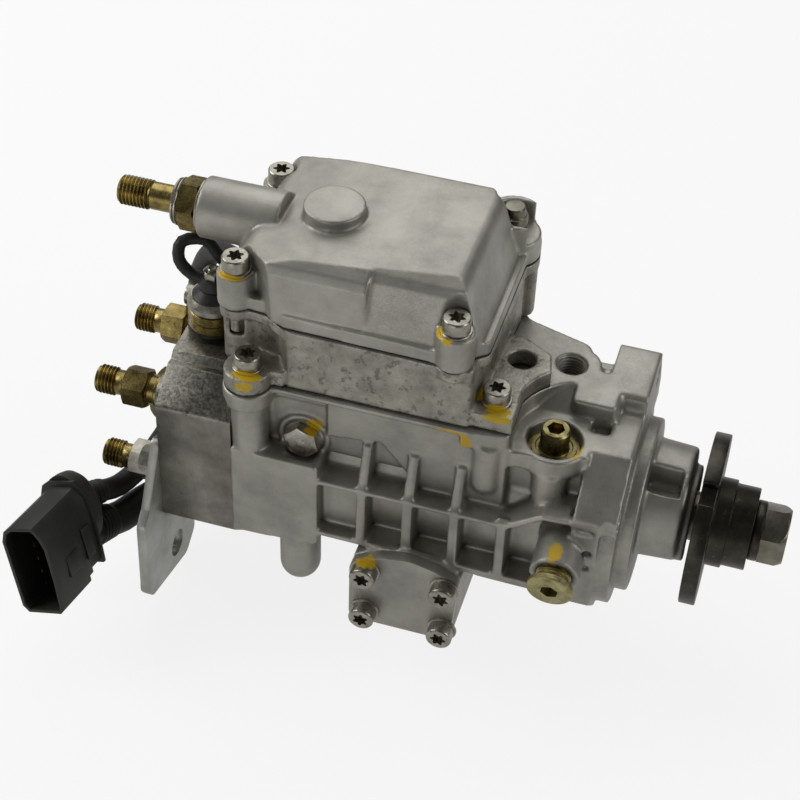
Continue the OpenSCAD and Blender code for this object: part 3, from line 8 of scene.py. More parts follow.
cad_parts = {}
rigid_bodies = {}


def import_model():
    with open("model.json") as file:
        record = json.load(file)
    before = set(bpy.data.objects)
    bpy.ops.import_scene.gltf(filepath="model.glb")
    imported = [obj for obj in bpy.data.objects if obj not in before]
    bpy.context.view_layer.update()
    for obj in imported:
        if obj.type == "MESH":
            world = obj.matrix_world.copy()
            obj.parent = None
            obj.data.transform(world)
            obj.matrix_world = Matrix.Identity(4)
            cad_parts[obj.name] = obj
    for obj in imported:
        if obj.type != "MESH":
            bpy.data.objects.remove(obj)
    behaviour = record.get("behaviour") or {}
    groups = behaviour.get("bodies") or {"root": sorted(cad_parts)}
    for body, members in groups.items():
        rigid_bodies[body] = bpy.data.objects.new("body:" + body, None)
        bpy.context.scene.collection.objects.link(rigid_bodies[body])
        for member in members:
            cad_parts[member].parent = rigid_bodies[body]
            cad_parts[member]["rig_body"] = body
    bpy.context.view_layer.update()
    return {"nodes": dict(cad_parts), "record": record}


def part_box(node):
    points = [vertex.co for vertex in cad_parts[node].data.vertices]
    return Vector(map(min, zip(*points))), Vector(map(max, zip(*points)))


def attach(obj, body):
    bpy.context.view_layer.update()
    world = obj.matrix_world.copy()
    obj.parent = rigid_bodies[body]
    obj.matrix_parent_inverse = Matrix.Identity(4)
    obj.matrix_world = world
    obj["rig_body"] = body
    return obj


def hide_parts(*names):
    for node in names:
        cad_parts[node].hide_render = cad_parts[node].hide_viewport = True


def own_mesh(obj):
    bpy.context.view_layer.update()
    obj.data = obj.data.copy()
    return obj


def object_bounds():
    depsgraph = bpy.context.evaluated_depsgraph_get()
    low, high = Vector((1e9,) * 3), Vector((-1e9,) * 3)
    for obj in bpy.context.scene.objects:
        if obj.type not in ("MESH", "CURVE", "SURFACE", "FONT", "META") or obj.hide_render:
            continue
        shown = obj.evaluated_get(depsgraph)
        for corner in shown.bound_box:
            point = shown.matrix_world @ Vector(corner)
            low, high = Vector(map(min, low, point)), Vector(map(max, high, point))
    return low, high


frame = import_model()
nodes = frame["nodes"]
scene = bpy.context.scene
toMetres = 0.001  # pieces are drawn in millimetres and scaled when they are finished


def metres(x, y, z):
    return Vector((x, y, z)) * toMetres


def hexColour(code):
    channels = [int(code[i:i + 2], 16) / 255 for i in (1, 3, 5)]
    linear = [c / 12.92 if c <= 0.04045 else ((c + 0.055) / 1.055) ** 2.4 for c in channels]
    return (*linear, 1.0)


# A shader node: keys in lower case are its settings, the other keys its inputs, as a value or as another
# node's output
def addNode(tree, kind, settings=None):
    node = tree.nodes.new(kind)
    for key, value in (settings or {}).items():
        if isinstance(key, str) and key[0].islower():
            setattr(node, key, value)
        elif isinstance(value, bpy.types.NodeSocket):
            tree.links.new(value, node.inputs[key])
        else:
            node.inputs[key].default_value = value
    return node


def noiseOf(tree, place, size, detail=2.0, roughness=0.5):
    scale = 1 / toMetres / size
    return addNode(tree, "ShaderNodeTexNoise", {
        "Vector": place, "Scale": scale, "Detail": detail, "Roughness": roughness}).outputs[0]


def rangeOf(tree, value, low, high, toLow=0.0, toHigh=1.0):
    return addNode(tree, "ShaderNodeMapRange", {
        "Value": value, "From Min": low, "From Max": high, "To Min": toLow, "To Max": toHigh}).outputs[0]


def valueMix(tree, share, first, second):
    return addNode(tree, "ShaderNodeMix", {0: share, 2: first, 3: second}).outputs[0]


def colourMix(tree, share, first, second):
    return addNode(tree, "ShaderNodeMix", {"data_type": "RGBA", 0: share, 6: first, 7: second}).outputs[2]


def mathOf(tree, operation, *values):
    return addNode(tree, "ShaderNodeMath", {"operation": operation, **dict(enumerate(values))}).outputs[0]


def vectorMath(tree, operation, *values):
    return addNode(tree, "ShaderNodeVectorMath", {"operation": operation, **dict(enumerate(values))})


# Camera at the photograph's angle
cameraSettings = {
    "place": (45.6, -526.4, 525.2),
    "right": (0.9566, 0.2902, 0.0302),
    "up": (-0.2174, 0.6396, 0.7374),
    "back": (0.1946, -0.7120, 0.6748),
    "lens": 82.35,
    "sensorWidth": 36,
    "nearest": 0.01,
}


def makeCamera(settings):
    data = bpy.data.cameras.new("camera")
    data.lens = settings["lens"]
    data.sensor_width = settings["sensorWidth"]
    data.clip_start = settings["nearest"]
    camera = bpy.data.objects.new("camera", data)
    axes = Matrix((settings["right"], settings["up"], settings["back"])).transposed()
    camera.matrix_world = Matrix.LocRotScale(metres(*settings["place"]), axes.to_quaternion(), None)
    scene.collection.objects.link(camera)
    scene.camera = camera


makeCamera(cameraSettings)

# Leads and the cable first: their routes repeat the solids' points, in millimetres
leadSettings = {
    "main": {
        "diameter": 9.5,
        "steps": 3,
        "points": [(-168, 20, 64), (-172, 20, 64), (-176, 20, 64), (-188, 29, 58), (-198, 38, 40),
                   (-203, 42, 16), (-205, 41, -8), (-207, 35, -28), (-209, 22, -37), (-210, 6, -38),
                   (-211, -10, -37), (-215, -25, -36), (-220, -35, -32), (-223, -43, -29)],
    },
    "timing": {
        "diameter": 14,
        "steps": 2,
        "points": [(-127, 26, -42), (-131, 26, -42), (-135, 26, -43), (-150, 25, -50),
                   (-170, 20, -51), (-188, 9, -51), (-199, -5, -50), (-207, -19, -49),
                   (-212, -31, -48), (-216, -38, -46), (-219, -46, -43)],
    },
    "cable": {
        "diameter": 5,
        "steps": 3,
        "points": [(-179, -3, 69.6), (-185, -3, 71), (-190, -3, 77), (-190, 1, 83), (-182, 5, 83),
                   (-176, 5, 76), (-171, 4, 73), (-168, 4, 73)],
    },
}


def smoothRoute(points, steps):
    route = []
    for i in range(len(points) - 1):
        a, b, c, d = (Vector(points[min(max(k, 0), len(points) - 1)]) for k in (i - 1, i, i + 1, i + 2))
        for s in range(steps):
            t = s / steps
            route.append(0.5 * (2 * b + (c - a) * t + (2 * a - 5 * b + 4 * c - d) * t * t
                                + (3 * b - a - 3 * c + d) * t ** 3))
    return route + [Vector(points[-1])]


def makeLead(name, settings):
    route = smoothRoute(settings["points"], settings["steps"])
    curve = bpy.data.curves.new(name, "CURVE")
    curve.dimensions = "3D"
    curve.bevel_depth = settings["diameter"] / 2 * toMetres
    curve.bevel_resolution = 6
    curve.use_fill_caps = True
    spline = curve.splines.new("POLY")
    spline.points.add(len(route) - 1)
    for spot, place in zip(spline.points, route):
        spot.co = (*(place * toMetres), 1)
    spline.use_smooth = True
    lead = bpy.data.objects.new(name, curve)
    scene.collection.objects.link(lead)
    length = sum((b - a).length for a, b in zip(route, route[1:])) * toMetres
    return lead, length, route[0] * toMetres


leads = {name: makeLead(name + "Lead", settings) for name, settings in leadSettings.items()}
print("camera and leads placed")

# Yellow inspection paint, brushed on after assembly: centre and half sizes in millimetres
paintMarks = [
    ((-158.5, -29.2, 96.6), (6.2, 2.6, 1.2)),
    ((-147.5, -42.3, 60.6), (6.5, 3.2, 1.3)),
    ((-147, -45.6, 57.6), (5, 1.6, 2.2)),
    ((-74.2, -34.6, 96.2), (3.0, 3.4, 1.6)),
    ((-71, -37.6, 95.4), (3.2, 2, 1.4)),
    ((-52, -30, 61), (5.6, 2.6, 1.6)),
    ((-51.5, -33.4, 59.6), (5.6, 2.6, 2)),
    ((-60, -24, 61.5), (1.6, 4, 1.6)),
    ((-68, -37, 50.2), (7, 2, 1.6)),
    ((-62.5, -37, 46.6), (3.4, 2, 4)),
    ((-123.2, -34.5, 34), (4, 4, 3.6)),
    ((-96, -50.5, -17.2), (4.6, 4, 2.6)),
    ((-58, 39, 99), (5, 7, 7)),
    ((-22, -24.4, 44.4), (3, 5, 2.2)),
    ((-20.8, -50.2, 13), (3.2, 5, 3.6)),
    ((-190, -10.4, 8.6), (2.6, 6, 6)),
    ((-30.6, -21.2, 48), (3.3, 3.3, 2.6)),
]

# Brush edges: size and weight of the noise that frays them, and the reach over which the paint thins out
paintEdge = {"size": 2, "detail": 3.0, "weight": 0.9, "fade": (1.3, 1.48, 0.96, 0.0)}


def makePaintGroup():
    tree = bpy.data.node_groups.new("paintMarks", "ShaderNodeTree")
    tree.interface.new_socket("Place", in_out="INPUT", socket_type="NodeSocketVector")
    tree.interface.new_socket("Mask", in_out="OUTPUT", socket_type="NodeSocketFloat")
    place = addNode(tree, "NodeGroupInput").outputs["Place"]
    nearest = None
    for centre, size in paintMarks:
        shift = vectorMath(tree, "SUBTRACT", place, metres(*centre)).outputs[0]
        share = vectorMath(tree, "DIVIDE", shift, metres(*size)).outputs[0]
        reach = vectorMath(tree, "LENGTH", share).outputs["Value"]
        nearest = reach if nearest is None else mathOf(tree, "MINIMUM", reach, nearest)
    fray = noiseOf(tree, place, paintEdge["size"], paintEdge["detail"])
    ragged = mathOf(tree, "MULTIPLY_ADD", fray, paintEdge["weight"], nearest)
    addNode(tree, "NodeGroupOutput", {"Mask": rangeOf(tree, ragged, *paintEdge["fade"])})
    return tree


paintGroup = makePaintGroup()
inspectionYellow = ("#b48c00", "#e9c80a")

# Where noise, pointiness and slope turn one tone, sheen or skin into the next
finishSettings = {
    "toneStops": (0.32, 0.5, 0.66),
    "cloudDetail": (5.0, 0.62),
    "speckDetail": (3.0, 0.7),
    "speckEdge": 0.07,
    # corners: the pointiness over which hollow corners take painted shade; edges: the pointiness over which
    # worn edges lighten
    "corners": (0.48, 0.43),
    "edges": (0.535, 0.60),
    "upward": (0.45, 0.6),
    "shotDetail": (4.0, 0.7),
    "pits": (0.38, 0.62, 0.62, 1.3),
    "sheen": (0.3, 0.7),
    "paintRoughness": 0.42,
}


def toneRamp(tree, share, look):
    dark, mid, light = finishSettings["toneStops"]
    ramp = addNode(tree, "ShaderNodeValToRGB", {"Fac": share})
    stops = ramp.color_ramp.elements
    for stop, place, tone in ((stops[0], dark, "dark"), (stops[1], light, "light")):
        stop.position = place
        stop.color = hexColour(look[tone])
    if "mid" in look:
        stops.new(mid).color = hexColour(look["mid"])
    return ramp.outputs[0]


# A look's sizes are in millimetres: grain as size and depth; specks as size, threshold, strength and colour;
# strokes as scale, spacing and share; shotTop as size and share; paint as two colours; the painted shade of
# hollow corners and the tone of worn edges as two colours
def metalFinish(name, look):
    limits = finishSettings
    material = bpy.data.materials.new(name)
    material.use_nodes = True
    tree = material.node_tree
    shader = tree.nodes["Principled BSDF"]
    place = addNode(tree, "ShaderNodeTexCoord").outputs["Object"]
    # Cloudy change of tone, as handling and blasting leave it
    clouds = noiseOf(tree, place, look["cloudSize"], *limits["cloudDetail"])
    colour = toneRamp(tree, clouds, look)
    # Ragged specks: pores, chips and oil spots
    size, start, depth, tone = look["specks"]
    specks = noiseOf(tree, place, size, *limits["speckDetail"])
    speckMask = rangeOf(tree, specks, start, start + limits["speckEdge"], 0.0, depth)
    colour = colourMix(tree, speckMask, colour, hexColour(tone))
    if "cornerShadeEdgeWear" in look:  # painted shade in hollow corners and lighter worn edges, from a dense mesh's pointiness
        point = addNode(tree, "ShaderNodeNewGeometry").outputs["Pointiness"]
        for span, tone in zip((limits["corners"], limits["edges"]), look["cornerShadeEdgeWear"]):
            colour = colourMix(tree, rangeOf(tree, point, *span), colour, hexColour(tone))
    # Fine grain, drawn no finer than it shows
    grainSize, grainDepth = look["grain"]
    height = noiseOf(tree, place, grainSize)
    if "strokes" in look:  # turning marks round an axis, or grinding strokes along a face
        way, spacing, share = look["strokes"]
        turned = addNode(tree, "ShaderNodeMapping", {"Scale": way, "Vector": place}).outputs[0]
        height = valueMix(tree, share, height, noiseOf(tree, turned, spacing))
    if "shotTop" in look:  # the upward faces keep the coarse skin of shot blasting
        size, share = look["shotTop"]
        normal = addNode(tree, "ShaderNodeNewGeometry").outputs["Normal"]
        slope = addNode(tree, "ShaderNodeSeparateXYZ", {0: normal}).outputs["Z"]
        upward = rangeOf(tree, slope, *limits["upward"], 0.0, share)
        shot = noiseOf(tree, place, size, *limits["shotDetail"])
        height = valueMix(tree, upward, height, shot)
        shade = valueMix(tree, upward, 1.0, rangeOf(tree, shot, *limits["pits"]))
        shaded = addNode(tree, "ShaderNodeVectorMath", {"operation": "SCALE", 0: colour, "Scale": shade})
        colour = shaded.outputs[0]
    roughness = rangeOf(tree, height, *limits["sheen"], *look["roughness"])
    bump = addNode(tree, "ShaderNodeBump", {
        "Strength": look["bump"], "Distance": grainDepth * toMetres, "Height": height})
    shader.inputs["Metallic"].default_value = look["metallic"]
    if "paint" in look:
        mask = addNode(tree, "ShaderNodeGroup", {"node_tree": paintGroup, "Place": place}).outputs[0]
        colour = colourMix(tree, mask, colour, colourMix(tree, clouds, *map(hexColour, look["paint"])))
        roughness = valueMix(tree, mask, roughness, limits["paintRoughness"])
        metallic = rangeOf(tree, mask, 0.0, 1.0, look["metallic"], 0.0)
        tree.links.new(metallic, shader.inputs["Metallic"])
    tree.links.new(colour, shader.inputs["Base Color"])
    tree.links.new(roughness, shader.inputs["Roughness"])
    tree.links.new(bump.outputs[0], shader.inputs["Normal"])
    return material


# Die-cast aluminium, bead-blasted when the pump was rebuilt: an even silk with grey clouds
castAluminium = metalFinish("blastedCastAluminium", {
    "light": "#b4b2a9", "mid": "#a6a49b", "dark": "#93918a", "cloudSize": 24, "grain": (0.55, 0.12),
    "specks": (4, 0.7, 0.4, "#55524a"), "metallic": 0.82, "roughness": (0.4, 0.58), "bump": 0.35,
    # the first of the two last colours is painted shade for hollow corners, the second the tone of worn
    # edges
    "paint": inspectionYellow, "cornerShadeEdgeWear": ("#504d45", "#bebbae"),
})
# Die-cast aluminium as it left the mould: coarser skin, greyer, with oil left in its pores
speckledCasting = metalFinish("speckledCastAluminium", {
    "light": "#b3b0a4", "mid": "#a09d92", "dark": "#87837a", "cloudSize": 12, "grain": (1.1, 0.3),
    "specks": (4.5, 0.56, 0.55, "#55524a"), "metallic": 0.85, "roughness": (0.38, 0.6), "bump": 0.55,
    # the first of the two last colours is painted shade for hollow corners, the second the tone of worn
    # edges
    "paint": inspectionYellow, "cornerShadeEdgeWear": ("#3d3a33", "#b4b1a4"),
})
# Forged steel head: ground on its near face, which leaves upright strokes, and shot-blasted on its top
forgedSteel = metalFinish("groundForgedSteel", {
    "light": "#99968c", "mid": "#85827a", "dark": "#6e6b62", "cloudSize": 18, "grain": (0.9, 0.25),
    "specks": (5, 0.68, 0.6, "#33312b"), "metallic": 0.96, "roughness": (0.3, 0.5), "bump": 0.5,
    "paint": inspectionYellow, "strokes": ((3.0, 1.0, 0.12), 0.9, 0.55), "shotTop": (1.4, 0.9),
})
# Turned and ground steel with a film of oil
machinedSteel = metalFinish("turnedSteel", {
    "light": "#8d897c", "dark": "#6c685c", "cloudSize": 9, "grain": (0.7, 0.1),
    "specks": (4, 0.68, 0.4, "#3f3c34"), "metallic": 1.0, "roughness": (0.25, 0.4), "bump": 0.25,
    "strokes": ((8.0, 1.0, 1.0), 2.5, 0.6),
})
# Zinc-plated screws: bright, with a faint warm passivation
zincSteel = metalFinish("zincPlatedSteel", {
    "light": "#b3b0a4", "dark": "#8a877b", "cloudSize": 5, "grain": (0.6, 0.06),
    "specks": (2.4, 0.62, 0.5, "#5d5a50"), "metallic": 1.0, "roughness": (0.26, 0.42), "bump": 0.3,
    "paint": inspectionYellow,
})
# Olive chromate over zinc, darkened by diesel: its tint drifts over each fitting
goldChromate = metalFinish("oliveChromatedSteel", {
    "light": "#b3a066", "mid": "#8e7d4c", "dark": "#665836", "cloudSize": 8, "grain": (0.6, 0.05),
    "specks": (3, 0.62, 0.5, "#332b1e"), "metallic": 1.0, "roughness": (0.24, 0.38), "bump": 0.25,
    "paint": inspectionYellow,
})
# Pale yellow passivation over zinc: nearly silver, with a green cast in its hollows
paleChromate = metalFinish("paleChromatedSteel", {
    "light": "#b9b184", "mid": "#a0976b", "dark": "#7c7450", "cloudSize": 6, "grain": (0.6, 0.06),
    "specks": (2.4, 0.6, 0.5, "#544d34"), "metallic": 0.96, "roughness": (0.34, 0.5), "bump": 0.3,
    "paint": inspectionYellow,
})
# The olive chromate again, under a dab of orange sealing paint
sealedChromate = metalFinish("paintSealedSteel", {
    "light": "#a39a6e", "mid": "#827850", "dark": "#554d33", "cloudSize": 5, "grain": (0.6, 0.05),
    "specks": (3, 0.66, 0.4, "#3a3120"), "metallic": 1.0, "roughness": (0.26, 0.4), "bump": 0.25,
    "paint": ("#c27808", "#eda61a"),
})
# Black oxide over turned steel: thin, with rings from the lathe showing through
blackOxide = metalFinish("blackOxideSteel", {
    "light": "#4c4a41", "dark": "#2e2c27", "cloudSize": 12, "grain": (0.7, 0.08),
    "specks": (3, 0.64, 0.5, "#77736a"), "metallic": 0.92, "roughness": (0.28, 0.44), "bump": 0.3,
    "strokes": ((9.0, 1.0, 1.0), 2.5, 0.5),
})
# Stamped steel plate, tumbled and zinc plated: dull grey with small scratches
stampedSteel = metalFinish("stampedZincSteel", {
    "light": "#bcbdb6", "mid": "#aeafa8", "dark": "#9c9d95", "cloudSize": 16, "grain": (0.5, 0.08),
    "specks": (3.4, 0.68, 0.4, "#5f605a"), "metallic": 0.92, "roughness": (0.4, 0.54), "bump": 0.25,
})
# Sintered bronze of the shaft bushes
sinteredBronze = metalFinish("sinteredBronze", {
    "light": "#c39a58", "dark": "#8f6c3a", "cloudSize": 6, "grain": (0.5, 0.06),
    "specks": (1.8, 0.6, 0.5, "#57401f"), "metallic": 1.0, "roughness": (0.34, 0.5), "bump": 0.3,
})
# Lacquered copper over steel laminations
coilWinding = metalFinish("lacqueredWinding", {
    "light": "#8a5a34", "dark": "#5a3d26", "cloudSize": 8, "grain": (0.8, 0.2),
    "specks": (2, 0.66, 0.4, "#2f2016"), "metallic": 0.7, "roughness": (0.3, 0.45), "bump": 0.5,
    "strokes": ((1.0, 1.0, 6.0), 1.5, 0.7),
})
# Black synthetic rubber: matt, with a bloom of grey dust
blackRubber = metalFinish("blackSyntheticRubber", {
    "light": "#2b2a26", "dark": "#1b1a17", "cloudSize": 8, "grain": (0.8, 0.1),
    "specks": (2.6, 0.64, 0.4, "#3e3d37"), "metallic": 0.0, "roughness": (0.48, 0.66), "bump": 0.4,
})
# Glass-filled nylon of the socket: spark-eroded skin, half matt
blackNylon = metalFinish("glassFilledNylon", {
    "light": "#262622", "dark": "#181815", "cloudSize": 20, "grain": (0.7, 0.07),
    "specks": (5, 0.7, 0.5, "#45443d"), "metallic": 0.0, "roughness": (0.38, 0.52), "bump": 0.35,
})
# Dark red silicone seal in the socket's floor
redSilicone = metalFinish("redSiliconeSeal", {
    "light": "#5a1828", "dark": "#380d18", "cloudSize": 6, "grain": (0.7, 0.05),
    "specks": (5, 0.7, 0.3, "#1a0709"), "metallic": 0.0, "roughness": (0.4, 0.55), "bump": 0.2,
})
# Pressed fibre of the gaskets: dark grey, its edge soaked with oil
gasketFibre = metalFinish("pressedGasketFibre", {
    "light": "#4c4a42", "dark": "#35332d", "cloudSize": 6, "grain": (0.6, 0.06),
    "specks": (2.4, 0.62, 0.5, "#25231e"), "metallic": 0.0, "roughness": (0.55, 0.7), "bump": 0.3,
})
print("materials made")


# Finishing a piece
def dressMesh(mesh, material):
    mesh.materials.clear()
    mesh.materials.append(material)
    mesh.polygons.foreach_set("use_smooth", [True] * len(mesh.polygons))


def settle(piece, body, replaced):
    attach(piece, body)
    if replaced:
        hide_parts(*replaced)
    return piece


def makePiece(name, bm, material, replaced=(), body="housing", smoothAngle=32):
    bmesh.ops.scale(bm, vec=(toMetres,) * 3, verts=bm.verts)
    piece = bpy.data.objects.new(name, bpy.data.meshes.new(name))
    scene.collection.objects.link(piece)
    bm.to_mesh(piece.data)
    bm.free()
    dressMesh(piece.data, material)
    piece.data.set_sharp_from_angle(angle=math.radians(smoothAngle))
    return settle(piece, body, replaced)


# A solid's own mesh, in millimetres
def nodeShape(nodeName):
    bm = bmesh.new()
    bm.from_mesh(nodes[nodeName].data)
    bmesh.ops.scale(bm, vec=(1 / toMetres,) * 3, verts=bm.verts)
    bmesh.ops.remove_doubles(bm, verts=bm.verts, dist=1e-3)
    return bm


def bevelEdges(bm, edges, width):
    bmesh.ops.bevel(bm, geom=edges, offset=width, offset_type="OFFSET", segments=2, profile=0.5,
                    affect="EDGES", clamp_overlap=True, material=-1)


def softenEdges(bm, width, angle=25):
    sharp = math.radians(angle)
    bevelEdges(bm, [e for e in bm.edges if e.is_manifold and e.calc_face_angle() > sharp], width)


# Castings: the solid's own shape, with the fillets and soft corners that a mould leaves. Node, voxel in
# millimetres, rounds of smoothing, finish and slot.
castings = {
    "housingCasting": ("pump_housing", 0.8, 4, castAluminium, "cast_aluminium"),
    "coverCasting": ("top_cover", 0.7, 5, castAluminium, "cast_aluminium"),
    "actuatorCasting": ("actuator_housing", 0.7, 3, speckledCasting, "speckled_casting"),
}
smoothShare = 0.5
mostTriangles = 180000


def castCopy(name, nodeName, voxel, softness, material, slotName):
    piece = bpy.data.objects.new(name, nodes[nodeName].data.copy())
    scene.collection.objects.link(piece)
    bm = bmesh.new()
    bm.from_mesh(piece.data)
    bmesh.ops.remove_doubles(bm, verts=bm.verts, dist=1e-6)
    bm.to_mesh(piece.data)
    bm.free()
    skin = piece.modifiers.new("skin", "REMESH")
    skin.mode = "VOXEL"
    skin.voxel_size = voxel * toMetres
    soften = piece.modifiers.new("soften", "SMOOTH")
    soften.factor = smoothShare
    soften.iterations = softness
    bpy.context.view_layer.update()
    dense = piece.evaluated_get(bpy.context.evaluated_depsgraph_get())
    triangles = 2 * len(dense.data.polygons)
    thin = piece.modifiers.new("thin", "DECIMATE")
    thin.ratio = min(1.0, mostTriangles / triangles)
    bpy.context.view_layer.update()
    made = bpy.data.meshes.new_from_object(piece.evaluated_get(bpy.context.evaluated_depsgraph_get()))
    piece.modifiers.clear()
    piece.data = made
    dressMesh(made, material)
    settle(piece, nodes[nodeName]["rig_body"], [nodeName])
    print("cast", name, triangles, "to", sum(len(p.vertices) - 2 for p in made.polygons))


for name, settings in castings.items():
    castCopy(name, *settings)

# Machined pieces: the solid's own shape with small broken edges, of the width given beside the finish
machined = {
    "distributor_head": (0.7, forgedSteel),
    "timing_covers": (0.8, castAluminium),
    "rear_bracket": (0.7, stampedSteel),
    "head_bolts": (0.3, zincSteel),
    "terminal_nut": (0.25, zincSteel),
    "security_screw": (0.4, machinedSteel),
    "drive_hub": (0.6, blackOxide),
    "hub_washer": (0.5, blackOxide),
    "hub_nut": (0.4, machinedSteel),
    "timing_valve": (0.5, blackNylon),
    "lead_gland": (0.5, blackRubber),
}
flatWithin = math.radians(0.5)
sharpAngle = 30


def machinedCopy(nodeName, width, material):
    bm = nodeShape(nodeName)
    bmesh.ops.dissolve_limit(bm, angle_limit=flatWithin, verts=bm.verts, edges=bm.edges)
    softenEdges(bm, width, sharpAngle)
    makePiece("dressed_" + nodeName, bm, material, [nodeName], body=nodes[nodeName]["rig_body"])


for nodeName, settings in machined.items():
    machinedCopy(nodeName, *settings)
print("machined pieces dressed")

# Solids that keep their own mesh take the finish of their slot
slotFinish = {
    "cast_aluminium": castAluminium, "speckled_casting": speckledCasting, "head_steel": forgedSteel,
    "machined_steel": machinedSteel, "zinc_plated_steel": zincSteel, "olive_chromate": goldChromate,
    "black_oxide": blackOxide, "bracket_steel": stampedSteel, "bronze": sinteredBronze,
    "coil_winding": coilWinding, "board_plastic": coilWinding, "black_rubber": blackRubber,
    "black_plastic": blackNylon,
}
nodeFinish = {"gaskets": gasketFibre}
for part in frame["record"]["subparts"]:
    node = nodes[part["node"]]
    for spot in node.material_slots:
        spot.link = "OBJECT"
        spot.material = nodeFinish.get(part["node"], slotFinish[part["material_slot"]])


# Shapes that a lathe makes, drawn along Z from (height, radius) pairs
def addTurned(bm, profile, closed=False, steps=48):
    verts = [bm.verts.new((radius, 0, height)) for height, radius in profile]
    pairs = list(zip(verts, verts[1:])) + ([(verts[-1], verts[0])] if closed else [])
    edges = [bm.edges.new(pair) for pair in pairs]
    bmesh.ops.spin(bm, geom=verts + edges, cent=(0, 0, 0), axis=(0, 0, 1), angle=math.tau, steps=steps,
                   use_merge=True)
    bmesh.ops.remove_doubles(bm, verts=bm.verts, dist=1e-4)


# Depth of a thread in pitches, and where its flat crest lies along a pitch
threadDepth = 0.6
crestShares = (0.42, 0.58)


def threadRoot(radius, pitch, way=1):
    return radius - way * threadDepth * pitch


# A real screw thread: one tooth spun along its helix, its ends cut to a 45 degree lead. With way -1 the
# teeth point at the axis.
def addThread(bm, low, high, radius, pitch, way=1, steps=32):
    root = threadRoot(radius, pitch, way)
    turns = math.ceil((high - low) / pitch) + 2
    before = set(bm.verts)
    tooth = ((0, root), (crestShares[0], radius), (crestShares[1], radius), (1, root))
    verts = [bm.verts.new((reach, 0, low + (share - 1) * pitch)) for share, reach in tooth]
    edges = [bm.edges.new(pair) for pair in zip(verts, verts[1:])]
    bmesh.ops.spin(bm, geom=verts + edges, cent=(0, 0, 0), axis=(0, 0, 1), dvec=(0, 0, pitch / steps),
                   angle=math.tau * turns, steps=steps * turns)
    made = set(bm.verts) - before
    for v in made:
        limit = root + way * max(min(v.co.z - low, high - v.co.z), 0)
        if (v.co.xy.length - limit) * way > 0:
            v.co.xy = v.co.xy.normalized() * limit
        v.co.z = min(max(v.co.z, low), high)
    bmesh.ops.remove_doubles(bm, verts=list(made), dist=1e-3)
    ends = [e for v in made if v.is_valid for e in v.link_edges if e.is_boundary]
    bmesh.ops.bridge_loops(bm, edges=list(set(ends)))


chamferSlope = 0.55
sideCuts = 7


# Hexagon with the chamfer that a lathe leaves at its ends; share tells how wide the round face is
def addHexagon(bm, flats, low, high, share=0.97):
    ring = bmesh.ops.create_circle(bm, cap_ends=True, segments=6, radius=flats / math.sqrt(3))["verts"]
    bottom = ring[0].link_faces[0]
    bmesh.ops.subdivide_edges(bm, edges=list(bottom.edges), cuts=sideCuts)
    made = bmesh.ops.extrude_face_region(bm, geom=[bottom])["geom"]
    top = next(f for f in made if isinstance(f, bmesh.types.BMFace))
    for end, height, way in ((bottom, low, 1), (top, high, -1)):
        border = bmesh.ops.inset_region(bm, faces=[end], thickness=0.1)["faces"]
        rim = {v for f in border for v in f.verts} - set(end.verts)
        inner = flats / 2 * share
        for v in rim:
            v.co.z = height + way * max(v.co.xy.length - inner, 0) * chamferSlope
        for v in end.verts:
            v.co.xy = v.co.xy.normalized() * inner
            v.co.z = height


# A socket in a turned head: its round wall is drawn out to lobes or to a hexagon
def shapeSocket(bm, radius, above, outline):
    for v in bm.verts:
        if abs(v.co.xy.length - radius) < 0.005 and v.co.z > above:
            v.co.xy = v.co.xy.normalized() * outline(math.atan2(v.co.y, v.co.x))


def hexagonAt(flats):
    return lambda angle: flats / 2 / math.cos(math.radians((math.degrees(angle) % 60) - 30))


def lobesAt(middle, depth):
    return lambda angle: middle + depth * math.cos(6 * angle)


# Faces of every closed shell outwards, judged by the volume that it holds
def turnOutwards(bm):
    bmesh.ops.recalc_face_normals(bm, faces=bm.faces)
    bm.normal_update()
    left = set(bm.faces)
    while left:
        shell, rim = set(), {left.pop()}
        while rim:
            shell |= rim
            rim = {other for f in rim for e in f.edges for other in e.link_faces} - shell
        left -= shell
        if sum(f.calc_area() * f.normal.dot(f.calc_center_median()) for f in shell) < 0:
            bmesh.ops.reverse_faces(bm, faces=list(shell))


def addCopy(bm, source, place, axis, twist=0):
    mesh = bpy.data.meshes.new("shape")
    source.to_mesh(mesh)
    turnTo = Vector((0, 0, 1)).rotation_difference(Vector(axis)).to_matrix().to_4x4()
    mesh.transform(Matrix.Translation(place) @ turnTo @ Matrix.Rotation(math.radians(twist), 4, "Z"))
    bm.from_mesh(mesh)
    bpy.data.meshes.remove(mesh)


def laid(source, place, axis, twist=0):
    bm = bmesh.new()
    addCopy(bm, source, place, axis, twist)
    source.free()
    turnOutwards(bm)
    return bm


# Pan-head screws with a six-lobed socket, in groups: length, way out and places
screwSettings = {
    "shank": 2.98,
    "headRadius": 5.35,
    "headHeight": 6.5,
    "washerRadius": 6.1,
    "socket": 3.0,
    "lobes": (2.75, 0.6),
    "socketDepth": 3.4,
    "firstTurn": 8,
    "turnStep": 23,
    "groups": [
        (29, (0, 0, 1), [(-157.6, -24.2, 96.5), (-69.5, -31.9, 96.5), (-160, 33.9, 96.5)]),
        (22, (0, 0, 1), [(-149.3, -36.3, 60.5), (-54, -24.3, 60.5)]),
        *[(16, (0, side, 0), [(x, side * 50, z)])
          for x in (-96, -63) for z in (-46, -22) for side in (-1, 1)],
    ],
}


